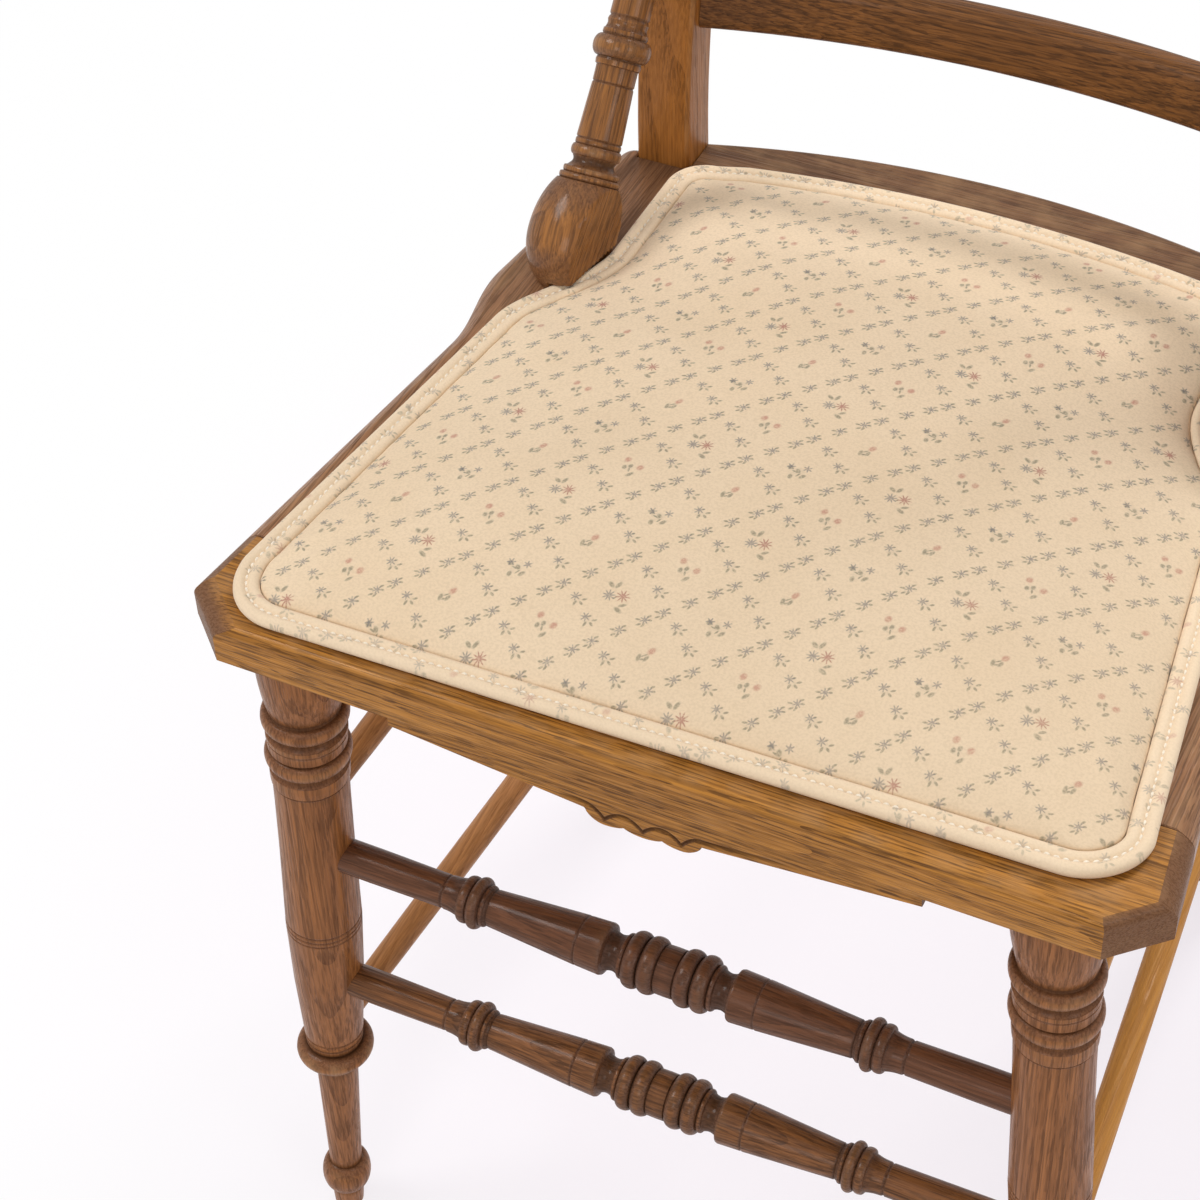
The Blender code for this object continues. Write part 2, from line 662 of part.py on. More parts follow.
def make_rod(name, start, end, hosts, finish):
    """A plain rod, thicker in the middle, with both ends let into their hosts."""
    along = (end - start).normalized()
    length = (end - start).length
    collar = 2.0 * SOCKET_DEPTH
    profile = [
        (0.0, SIDE_STRETCHER_END), (collar, SIDE_STRETCHER_END),
        (0.35 * length, SIDE_STRETCHER_RADIUS), (0.65 * length, SIDE_STRETCHER_RADIUS),
        (length - collar, SIDE_STRETCHER_END), (length, SIDE_STRETCHER_END),
    ]
    turned(name, profile, ROD_SIDES, finish, start, end)
    bore(hosts[0], start, start + along * collar, SIDE_STRETCHER_END)
    bore(hosts[1], end, end - along * collar, SIDE_STRETCHER_END)


def make_rods(legs, posts, finish):
    """Two side stretchers on each side, and one between the rear legs."""
    for level, front_z, rear_z in (
        ("upper", SIDE_UPPER_FRONT_Z, SIDE_UPPER_REAR_Z),
        ("lower", SIDE_LOWER_FRONT_Z, SIDE_LOWER_REAR_Z),
    ):
        for word, side in SIDES:
            front = leg_axis(side, front_z)
            rear = post_middle(side, rear_z)
            along = (rear - front).normalized()
            start = front + along * (LEG_RADIUS - SOCKET_DEPTH - 0.002)
            end = rear - along * (post_depth(rear_z) / 2 - SOCKET_DEPTH)
            make_rod(f"side_stretcher_{level}_{word}", start, end, (legs[side], posts[side]), finish)
    inner = Vector((POST_WIDTH / 2 - SOCKET_DEPTH, 0, 0))
    start = post_middle(-1, REAR_STRETCHER_Z) + inner
    end = post_middle(1, REAR_STRETCHER_Z) - inner
    make_rod("rear_stretcher", start, end, (posts[-1], posts[1]), finish)


def brace_path(run):
    """Point and direction (y, z) on a brace's axis, a run from the ball's centre: straight, then bent."""
    lean = math.atan(BRACE_SLOPE)
    straight = min(run, BRACE_STRAIGHT)
    y = BALL_Y + straight * math.sin(lean)
    z = SEAT_TOP + BALL_RISE + straight * math.cos(lean)
    turn = min(max(run - BRACE_STRAIGHT, 0.0) / BRACE_BEND, BRACE_TURN)
    y += BRACE_BEND * (math.cos(lean) - math.cos(lean + turn))
    z += BRACE_BEND * (math.sin(lean + turn) - math.sin(lean))
    beyond = max(run - BRACE_STRAIGHT - BRACE_BEND * BRACE_TURN, 0.0)
    direction = (math.sin(lean + turn), math.cos(lean + turn))
    return (y + beyond * direction[0], z + beyond * direction[1]), direction


def brace_length():
    """Run from the ball's centre to where the axis meets the post's front face."""
    run = BRACE_STRAIGHT
    while True:
        (y, z), _ = brace_path(run)
        if y >= post_face(z):
            return run
        run += GAP


def brace_profile(tip):
    """A brace from the underside of its ball to its tip, as (run, radius) pairs."""
    shank = BRACE_RADIUS
    turns = [math.radians(angle) for angle in (165, 140, 115, 90, 65, 42)]
    ball = [(BALL_HALF_LENGTH * math.cos(a), BALL_RADIUS * math.sin(a)) for a in turns]
    collar = [(0.0250, 0.0122), *bead(0.0295, 0.0028, 0.0115, 0.0132), *bead(0.0362, 0.0024, 0.0100, 0.0110)]
    lower = [(0.0402, 0.0090), (0.0435, 0.0110), (0.0735, 0.0100), (0.0815, 0.0100)]
    group = [*bead(0.0907, 0.0050, 0.0104, 0.0133), (0.0975, 0.0108), (0.1045, 0.0095)]
    bend = np.linspace(BRACE_STRAIGHT, tip - 2.0 * SOCKET_DEPTH, 4)
    upper = [(0.112, shank), *[(float(run), shank) for run in bend], (tip, shank - 0.0015)]
    return ball + collar + lower + group + upper


def brace_rings(profile, side, grow=0.0):
    """Rings of a turned profile carried along the bent axis."""
    angles = [2.0 * math.pi * k / LEG_SIDES for k in range(LEG_SIDES)]
    rings = []
    for run, radius in profile:
        (y, z), (along_y, along_z) = brace_path(run)
        radius = radius + grow
        ring = []
        for a in angles:
            out = radius * math.sin(a)
            ring.append((side * BALL_X + side * radius * math.cos(a), y + out * along_z, z - out * along_y))
        rings.append(ring)
    return rings


def make_braces(posts, sides, finish):
    """Hip braces: a ball flattened on the seat and beside the pad, a turned shank, a bent end."""
    meet = brace_length()
    tip = meet + SOCKET_DEPTH
    for word, side in SIDES:
        name = f"hip_brace_{word}"
        brace = link(name, loft_mesh(name, brace_rings(brace_profile(tip), side)), finish)
        reach = 2.0 * BALL_RADIUS
        floor = SEAT_TOP + GAP
        low = (side * BALL_X - reach, BALL_Y - 2.0 * reach, floor - 2.0 * reach)
        high = (side * BALL_X + reach, BALL_Y + 2.0 * reach, floor)
        cut(brace, box_cutter(low, high))
        welt_top = floor + 2.0 * WELT_RADIUS + GAP
        for depth, turn, top in ((FACET, FACET_TURN, SEAT_TOP + reach), (RELIEF, RELIEF_TURN, welt_top)):
            inwards = sorted((-side * depth, -side * (depth + reach)))
            flat = box_cutter((inwards[0], -reach, SEAT_TOP - reach), (inwards[1], reach, top))
            flat.location = (side * BALL_X, BALL_Y, 0.0)
            flat.rotation_euler.z = side * turn
            cut(brace, flat)
        foot = Vector((side * (BALL_X + BRACE_PIN_OUT), BALL_Y - BRACE_PIN_FORWARD, SEAT_TOP))
        low_end = foot - Vector((0, 0, BRACE_PIN_LENGTH))
        pin = turned_mesh("pin", [(0.0, BRACE_PIN_RADIUS), (1.5 * BRACE_PIN_LENGTH, BRACE_PIN_RADIUS)], PEG_SIDES)
        join(brace, point_along(link("pin", pin, cutter=True), low_end, foot))
        bore(sides[side], low_end, foot + Vector((0, 0, NOSE)), BRACE_PIN_RADIUS)
        shank = BRACE_RADIUS
        runs = (meet - SOCKET_DEPTH, tip + GAP)
        socket = brace_rings([(run, shank) for run in runs], side, GAP)
        cut(posts[side], link("brace_socket", loft_mesh("brace_socket", socket), cutter=True))


def apron_edge(x):
    """Depth of the apron's lower edge below the rail at x: falling lines, then three lobes."""
    lobes = LOBE_COUNT * LOBE_PITCH / 2
    x = abs(x)
    if x >= lobes:
        share = (APRON_HALF - x) / (APRON_HALF - lobes)
        return APRON_END_HEIGHT + APRON_FALL * share
    phase = (x + LOBE_PITCH / 2) % LOBE_PITCH / LOBE_PITCH
    swell = math.sin(math.pi * phase) ** 0.7
    return APRON_END_HEIGHT + APRON_FALL + LOBE_CUSP + (LOBE_DROP - LOBE_CUSP) * swell


def apron_tongue(grow):
    """Low and high corners of the tongue on top of the apron, grown by a clearance."""
    top = SEAT_TOP - RAIL_THICK + APRON_TONGUE
    inner = APRON_THICK / 3
    low = (-APRON_HALF + inner - grow, APRON_FRONT + inner - grow, top - 2.0 * APRON_TONGUE)
    high = (APRON_HALF - inner + grow, APRON_FRONT + 2.0 * inner + grow, top + grow)
    return low, high


def make_apron(finish):
    """Scalloped board whose tongue sits in a groove under the front rail."""
    top = SEAT_TOP - RAIL_THICK - GAP
    lobes = LOBE_COUNT * LOBE_PITCH / 2
    scallops = np.linspace(-lobes, lobes, 6 * LOBE_COUNT + 1)
    stations = [-APRON_HALF, -lobes - WELD * 10, *scallops, lobes + WELD * 10, APRON_HALF]
    front, rear = APRON_FRONT, APRON_FRONT + APRON_THICK
    rings = []
    for x in (float(station) for station in stations):
        bottom = top + GAP - apron_edge(x)
        rings.append([(x, front, bottom), (x, front, top), (x, rear, top), (x, rear, bottom)])
    apron = link("front_apron", loft_mesh("front_apron", rings), finish)
    join(apron, box_cutter(*apron_tongue(0.0)))
    return apron


def pad_side(y):
    """Half-width of the pad's outline between its corners, drawn in round the brace."""
    beside = seat_edge(min(y, EAR_START)) - PAD_SIDE_MARGIN
    beside -= EDGE_TAPER * max(y - EAR_START, 0.0)
    inner = POST_INNER + PAD_POST_MARGIN
    share = smooth_step((y - PAD_NOTCH_START) / PAD_NOTCH_RUN)
    return beside + (inner - beside) * share


def pad_outline():
    """The pad's outer edge on the seat, counter-clockwise from the middle of the front."""
    turns = [math.radians(angle) for angle in (0, 18, 36, 54, 72, 90)]
    turn_y = PAD_FRONT + PAD_CORNER
    turn_x = pad_side(turn_y) - PAD_CORNER
    half = [(turn_x + PAD_CORNER * math.sin(a), turn_y - PAD_CORNER * math.cos(a)) for a in turns]
    half.insert(0, (turn_x / 2, PAD_FRONT))
    notch_end = PAD_NOTCH_START + PAD_NOTCH_RUN
    straight = np.linspace(turn_y, PAD_NOTCH_START, 5)[1:-1]
    notch = np.linspace(PAD_NOTCH_START, notch_end, 8)
    half += [(pad_side(float(y)), float(y)) for y in (*straight, *notch)]
    back_x = pad_side(notch_end) - PAD_BACK_CORNER
    back_y = PAD_BACK - (back_x + PAD_BACK_CORNER / 2) ** 2 / (2.0 * PAD_BACK_BOW) - PAD_BACK_CORNER
    corner = turns[::1]
    half += [(back_x + PAD_BACK_CORNER * math.cos(a), back_y + PAD_BACK_CORNER * math.sin(a)) for a in corner[:-1]]
    for x in (0.9 * back_x, 0.6 * back_x, 0.3 * back_x):
        half.append((x, PAD_BACK - x * x / (2.0 * PAD_BACK_BOW)))
    left = [(-x, y) for x, y in reversed(half)]
    outline = [(0.0, PAD_FRONT), *half, (0.0, PAD_BACK), *left]
    reach = turn_y + PAD_CORNER
    return [(x, y + PAD_SKEW * x * (1.0 - smooth_step(y / reach))) for x, y in outline]


def pad_inset(distance):
    """The pad's outline drawn in all round."""
    outline = pad_outline()
    return inset(outline, [distance] * len(outline))


def pad_ring(outline, share, height):
    """The outline shrunk towards the middle of the pad, at one height."""
    centre = Vector((0.0, (PAD_FRONT + PAD_BACK) / 2))
    return [(*(centre + (Vector(point) - centre) * share), height) for point in outline]


def make_board(finish):
    """Plywood panel that closes the seat's opening and carries the pad."""
    low = SEAT_TOP + GAP
    rings = [pad_ring(pad_outline(), BOARD_SHARE, z) for z in (low, low + BOARD_THICK)]
    return link("seat_board", loft_mesh("seat_board", rings), finish)


def make_pad(finish):
    """Crowned pad, hollowed underneath over the board, its sides drawn in at the welt."""
    edge = 2.0 * WELT_RADIUS + WELT_PITCH + 2.0 * GAP
    floor = SEAT_TOP + GAP
    hollow = BOARD_SHARE + 2.0 * GAP / POST_INNER
    base = pad_inset(edge)
    side = pad_inset(edge - GAP)
    rings = [pad_ring(pad_outline(), hollow, floor + height) for height in (BOARD_THICK + GAP, 0.0)]
    rings.append(pad_ring(base, 1.0, floor))
    rings.append(pad_ring(side, 1.0, floor + 2.2 * WELT_RADIUS))
    rings.append(pad_ring(side, 1.0, floor + 0.8 * PAD_EDGE))
    for share in (0.985, 0.93, 0.80, 0.60, 0.35, 0.12):
        height = PAD_EDGE + (PAD_CROWN - PAD_EDGE) * (1.0 - share**2)
        rings.append(pad_ring(base, share, floor + height))
    return link("seat_pad", loft_mesh("seat_pad", rings), finish)


def make_welt(finish):
    """Double welt: two cords side by side all round the pad, in one closed loop."""
    outline = pad_outline()
    middle = WELT_RADIUS + WELT_PITCH / 2
    height = SEAT_TOP + GAP + WELT_RADIUS
    outer = [math.radians(a) for a in (75, 130, 180, 230, 285)]
    inner = [math.radians(a) for a in (-105, -50, 0, 50, 105)]
    section = [(-WELT_PITCH / 2 + WELT_RADIUS * math.cos(a), WELT_RADIUS * math.sin(a)) for a in outer]
    section += [(WELT_PITCH / 2 + WELT_RADIUS * math.cos(a), WELT_RADIUS * math.sin(a)) for a in inner]
    tracks = [inset(outline, [middle + across] * len(outline)) for across, _ in section]
    rings = []
    for i in range(len(outline)):
        rings.append([(track[i].x, track[i].y, height + rise) for track, (_, rise) in zip(tracks, section)])
    return link("double_welt", loft_mesh("double_welt", rings, closed=True), finish)


def centre_on_origin(root):
    """Move the whole chair so that its box stands on the origin."""
    bpy.context.view_layer.update()
    graph = bpy.context.evaluated_depsgraph_get()
    reach = []
    for piece in bpy.context.scene.objects:
        if piece.type != "MESH" or piece.hide_render:
            continue
        made = piece.evaluated_get(graph)
        reach += [(made.matrix_world @ Vector(corner)).y for corner in made.bound_box]
    root.location.y = -(min(reach) + max(reach)) / 2


def main():
    """Build the chair."""
    for old in list(bpy.data.objects):
        bpy.data.objects.remove(old)
    root = bpy.data.objects.new("chair", None)
    bpy.context.scene.collection.objects.link(root)

    golden = material("golden_oak", (0.36, 0.19, 0.07), 0.38)
    brown = material("brown_oak", (0.27, 0.15, 0.08), 0.38)
    dark = material("dark_oak", (0.20, 0.11, 0.06), 0.40)
    beech = material("beech", (0.55, 0.38, 0.22), 0.6)
    ply = material("plywood", (0.58, 0.42, 0.25), 0.7)
    steel = material("steel", (0.45, 0.44, 0.42), 0.35, 1.0)
    cloth = material("cream_cloth", (0.78, 0.64, 0.43), 0.85)

    front = make_front_rail(golden)
    sides = {side: make_side_rail(f"seat_{word}_rail", side, brown) for word, side in SIDES}
    back = make_back_rail(dark)
    make_seat_dowels(front, sides, back, beech)
    make_apron(golden)

    legs = make_front_legs(brown)
    posts = make_posts(brown)
    make_post_screws(posts, sides, steel)
    make_finials(posts, brown)
    make_front_stretchers(legs, dark)
    make_rods(legs, posts, golden)
    make_braces(posts, sides, brown)

    def level(height):
        return lambda x: height

    make_back_rail_between(
        "lower_back_rail",
        level(LOWER_RAIL_BOTTOM),
        level(LOWER_RAIL_BOTTOM + LOWER_RAIL_HEIGHT),
        posts,
        brown,
    )
    middle = make_back_rail_between(
        "middle_back_rail",
        level(MIDDLE_RAIL_BOTTOM),
        level(MIDDLE_RAIL_BOTTOM + MIDDLE_RAIL_HEIGHT),
        posts,
        brown,
    )
    crest = make_back_rail_between("crest_rail", crest_bottom, crest_top, posts, brown)
    make_spindles(middle, crest, brown)

    make_board(ply)
    make_pad(cloth)
    make_welt(cloth)
    centre_on_origin(root)


if __name__ == "__main__":
    main()
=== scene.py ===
"""Looks of an oak side chair with turned legs, hip braces, a pressed back and a printed cotton seat pad.

Each sub-assembly is a class with its sizes in metres. Plans use y = 0 at the front edge of the seat's flat
top, with y growing towards the back; Plan.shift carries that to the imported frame.
"""

from __future__ import annotations

import json
import logging
import math
from dataclasses import dataclass
from enum import Enum

import bmesh
import bpy
import numpy as np
from mathutils import Matrix, Vector

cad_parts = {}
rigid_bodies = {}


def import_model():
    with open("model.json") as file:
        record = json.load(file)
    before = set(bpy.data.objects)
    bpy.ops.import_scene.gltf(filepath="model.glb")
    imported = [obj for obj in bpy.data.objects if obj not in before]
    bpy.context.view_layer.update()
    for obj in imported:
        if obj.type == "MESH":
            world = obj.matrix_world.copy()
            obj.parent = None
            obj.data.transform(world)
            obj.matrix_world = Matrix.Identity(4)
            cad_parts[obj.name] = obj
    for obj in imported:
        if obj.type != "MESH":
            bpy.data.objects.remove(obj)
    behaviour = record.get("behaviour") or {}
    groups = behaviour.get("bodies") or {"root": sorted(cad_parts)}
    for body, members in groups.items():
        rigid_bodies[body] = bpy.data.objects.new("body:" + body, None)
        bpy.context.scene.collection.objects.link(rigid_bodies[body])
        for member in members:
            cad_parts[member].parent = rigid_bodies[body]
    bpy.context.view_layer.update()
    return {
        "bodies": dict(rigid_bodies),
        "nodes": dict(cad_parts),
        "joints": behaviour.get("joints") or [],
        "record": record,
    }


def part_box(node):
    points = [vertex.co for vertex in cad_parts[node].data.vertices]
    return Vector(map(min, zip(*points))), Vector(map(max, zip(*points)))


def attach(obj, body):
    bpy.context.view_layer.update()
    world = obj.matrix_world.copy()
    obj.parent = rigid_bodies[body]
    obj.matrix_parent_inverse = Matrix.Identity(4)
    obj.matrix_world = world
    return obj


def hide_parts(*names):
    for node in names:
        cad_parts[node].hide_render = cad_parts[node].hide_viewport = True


LOG = logging.getLogger("chair")
SIDES: tuple[tuple[str, int], ...] = (("left", -1), ("right", 1))
ARRIS_WIDTH = 0.0014  # how far wear reaches from a board's arris
Triple = tuple[float, float, float]
Colour = Triple


class Along(Enum):
    """Direction of the grain, with the turn that lays it along a finish's own X."""

    X = (0.0, 0.0, 0.0)
    Y = (0.0, 0.0, -math.pi / 2)
    Z = (0.0, math.pi / 2, 0.0)


# Shapes


def smooth_step(value: np.ndarray | float) -> np.ndarray:
    """Ease from 0 to 1 as the value goes from 0 to 1."""
    value = np.clip(value, 0.0, 1.0)
    return value * value * (3.0 - 2.0 * value)


def points(*pairs: tuple[float, float]) -> np.ndarray:
    """Straight runs of a turned profile, as (distance, radius) rows."""
    return np.array(pairs, dtype=float)


def bead(centre: float, half: float, low: float, high: float, steps: int = 17) -> np.ndarray:
    """A rounded ring on a turned profile: half an ellipse between two low points.

    Args:
        centre: distance of the ring's middle.
        half: half its width.
        low: radius at both ends.
        high: radius at the top.
        steps: rows in the ring.

    Returns:
        Rows of (distance, radius).
    """
    turn = np.linspace(math.pi, 0.0, steps)
    return np.column_stack((centre + half * np.cos(turn), low + (high - low) * np.sin(turn)))


def cove(start: float, end: float, first: float, last: float, depth: float, steps: int = 13) -> np.ndarray:
    """A hollow on a turned profile: a straight run less a half sine.

    Args:
        start: distance where it begins.
        end: distance where it ends.
        first: radius at the start.
        last: radius at the end.
        depth: how deep it is cut.
        steps: rows in the hollow.

    Returns:
        Rows of (distance, radius).
    """
    share = np.linspace(0.0, 1.0, steps)
    radius = first + (last - first) * share - depth * np.sin(math.pi * share)
    return np.column_stack((start + (end - start) * share, radius))


def groove(centre: float, radius: float, depth: float = 0.0005, half: float = 0.0007) -> np.ndarray:
    """A fine V cut round a turned profile."""
    return points((centre - half, radius), (centre, radius - depth), (centre + half, radius))


def fine_profile(rows: np.ndarray, step: float = 0.0008) -> np.ndarray:
    """Add even steps between the rows of a profile, keeping every row.

    Args:
        rows: (distance, radius) rows with distances that never fall.
        step: longest step along the axis.

    Returns:
        The denser rows.
    """
    along = np.maximum.accumulate(rows[:, 0] + np.arange(len(rows)) * 1e-8)
    even = np.arange(along[0], along[-1], step)
    every = np.union1d(even, along)
    return np.column_stack((every, np.interp(every, along, rows[:, 1])))


def profile_relief(rows: np.ndarray, reach: float = 0.006, height: float = 0.0022) -> np.ndarray:
    """How proud each row stands of its surroundings: the radius less its running mean.

    Args:
        rows: fine profile.
        reach: width of the running mean.
        height: difference that counts as 1.

    Returns:
        Values from -1 in a groove to 1 on a ring.
    """
    # The oak finish darkens negative values as painted shade in grooves and shows positive values as wear.
    offsets = np.linspace(-reach, reach, 15)
    around = np.interp(rows[:, :1] + offsets, rows[:, 0], rows[:, 1])
    return np.clip((rows[:, 1] - around.mean(axis=1)) / height, -1.0, 1.0)


def skin(
    name: str,
    grid: np.ndarray,
    relief: np.ndarray | None = None,
    loop: bool = False,
    caps: bool = True,
    sharp: float = 40.0,
) -> bpy.types.Object:
    """Skin a stack of closed rings into one closed piece.

    Args:
        name: the piece's name.
        grid: rings x points x 3.
        relief: value for each point, negative in hollows and positive on edges.
        loop: whether the last ring joins the first.
        caps: whether to close the first and last ring.
        sharp: angle in degrees past which an edge stays crisp.

    Returns:
        The object, linked to the scene.
    """
    rings, around = grid.shape[:2]
    index = np.arange(rings * around).reshape(rings, around)
    low, high = (index, np.roll(index, -1, axis=0)) if loop else (index[:-1], index[1:])
    quads = np.stack((low, np.roll(low, -1, axis=1), np.roll(high, -1, axis=1), high), axis=-1)
    faces = quads.reshape(-1, 4).tolist()
    if caps and not loop:
        faces += [index[0, ::-1].tolist(), index[-1].tolist()]
    mesh = bpy.data.meshes.new(name)
    mesh.from_pydata(grid.reshape(-1, 3), [], faces)
    if relief is not None:
        values = np.broadcast_to(relief, (rings, around)).astype(np.float32)
        mesh.attributes.new("relief", "FLOAT", "POINT").data.foreach_set("value", values.ravel())
    return settle(name, mesh, sharp)


def settle(name: str, mesh: bpy.types.Mesh, sharp: float) -> bpy.types.Object:
    """Merge doubled points, face the mesh outwards, shade it and link it.

    Args:
        name: the piece's name.
        mesh: a closed mesh.
        sharp: angle in degrees past which an edge stays crisp.

    Returns:
        The object.
    """
    bm = bmesh.new()
    bm.from_mesh(mesh)
    bmesh.ops.remove_doubles(bm, verts=bm.verts, dist=2e-7)
    if bm.calc_volume(signed=True) < 0.0:
        bmesh.ops.reverse_faces(bm, faces=bm.faces)
    bm.to_mesh(mesh)
    bm.free()
    mesh.shade_smooth()
    mesh.set_sharp_from_angle(angle=math.radians(sharp))
    piece = bpy.data.objects.new(name, mesh)
    bpy.context.scene.collection.objects.link(piece)
    return piece


def revolve(rows: np.ndarray, start: np.ndarray, end: np.ndarray, around: int) -> np.ndarray:
    """Carry a turned profile along a straight axis.

    Args:
        rows: (distance, radius) rows, with distance 0 at the start point.
        start: where distance 0 lies.
        end: a point further along the axis.
        around: points in each ring.

    Returns:
        rings x points x 3.
    """
    axis = np.asarray(end, dtype=float) - start
    axis /= np.linalg.norm(axis)
    helper = np.array((0.0, 0.0, 1.0)) if abs(axis[2]) < 0.9 else np.array((1.0, 0.0, 0.0))
    first = np.cross(helper, axis)
    first /= np.linalg.norm(first)
    second = np.cross(axis, first)
    turn = np.linspace(0.0, 2.0 * math.pi, around, endpoint=False)[None, :, None]
    ring = np.cos(turn) * first + np.sin(turn) * second
    return np.asarray(start) + rows[:, :1, None] * axis + rows[:, 1:, None] * ring


def closed_rows(rows: np.ndarray) -> np.ndarray:
    """Bring both ends of a profile to its axis."""
    first, last = rows[:1] * (1.0, 0.0), rows[-1:] * (1.0, 0.0)
    return np.vstack((first, rows, last))


def turned_piece(
    name: str, rows: np.ndarray, start: np.ndarray, end: np.ndarray, around: int = 40
) -> bpy.types.Object:
    """A turned piece on a straight axis.

    Args:
        name: the piece's name.
        rows: (distance, radius) rows.
        start: where distance 0 lies.
        end: a point further along the axis.
        around: points in each ring.

    Returns:
        The object.
    """
    fine = fine_profile(rows)
    relief = profile_relief(fine)
    relief = np.concatenate((relief[:1], relief, relief[-1:]))
    return skin(name, revolve(closed_rows(fine), start, end, around), relief[:, None], caps=False)


def drawn_in(outline: np.ndarray, distance: np.ndarray) -> np.ndarray:
    """Move each edge of a counter-clockwise outline inwards by its own distance.

    A corner goes to where its two moved edges cross.

    Args:
        outline: points x 2.
        distance: one distance per edge, the edge that starts at the same row.

    Returns:
        The moved points.
    """
    first = outline - np.roll(outline, 1, axis=0)
    second = np.roll(outline, -1, axis=0) - outline
    first /= np.linalg.norm(first, axis=1, keepdims=True)
    second /= np.linalg.norm(second, axis=1, keepdims=True)
    normal_first = np.column_stack((-first[:, 1], first[:, 0]))
    normal_second = np.column_stack((-second[:, 1], second[:, 0]))
    shift_first = normal_first * np.roll(distance, 1)[:, None]
    shift_second = normal_second * distance[:, None]
    across = first[:, 0] * second[:, 1] - first[:, 1] * second[:, 0]
    gap = shift_second - shift_first
    slide = gap[:, 0] * second[:, 1] - gap[:, 1] * second[:, 0]
    plain = np.abs(across) < 1e-5
    slide = slide / np.where(plain, 1.0, across)
    slide[plain] = 0.0
    return outline + np.where(plain[:, None], shift_second, shift_first) + first * slide[:, None]


def board(
    name: str,
    outline: np.ndarray,
    reach: np.ndarray,
    low: float,
    high: float,
    drop: np.ndarray,
    ease: float = 0.0005,
) -> bpy.types.Object:
    """A board cut to an outline: some edges rounded to a nose, the others eased at a joint.

    A nose is part of an ellipse, which starts at a crisp arris at the top and ends upright.

    Args:
        name: the piece's name.
        outline: counter-clockwise points x 2.
        reach: for each edge, how far the nose stands out from the flat top; 0 at a joint.
        low: height of the underside.
        high: height of the top.
        drop: for each edge, how far down the nose runs.
        ease: size of the small chamfer along the joints.

    Returns:
        The object.
    """
    fall = np.concatenate(([0.0, 0.0002, 0.0005], np.linspace(0.001, float(drop.max()), 14)))
    rise = np.array((0.0, 0.0005, 0.0010))
    heights = np.concatenate((low + rise, (high - fall)[::-1]))
    down = (high - heights)[:, None]
    start = 0.8
    curve = 1.0 - np.sqrt(1.0 - (start * np.clip(1.0 - down / drop[None, :], 0.0, 1.0)) ** 2)
    insets = reach[None, :] * curve / (1.0 - math.sqrt(1.0 - start**2))
    down = np.minimum(down, (heights - low)[:, None])
    insets = np.maximum(insets, np.clip(np.where(reach[None, :] > 0.0, 2.0 * ease, ease) - down, 0.0, None))
    plans = np.array([drawn_in(outline, inset) for inset in insets])
    levels = np.broadcast_to(heights[:, None, None], (*plans.shape[:2], 1))
    free = (reach > 0.0) | (np.roll(reach, 1) > 0.0)
    arris = np.exp(-((down / ARRIS_WIDTH) ** 2))
    relief = np.where(free[None, :], 0.6 * arris, -0.6 * (down < ease))
    return skin(name, np.concatenate((plans, levels), axis=-1), relief, sharp=17.0)


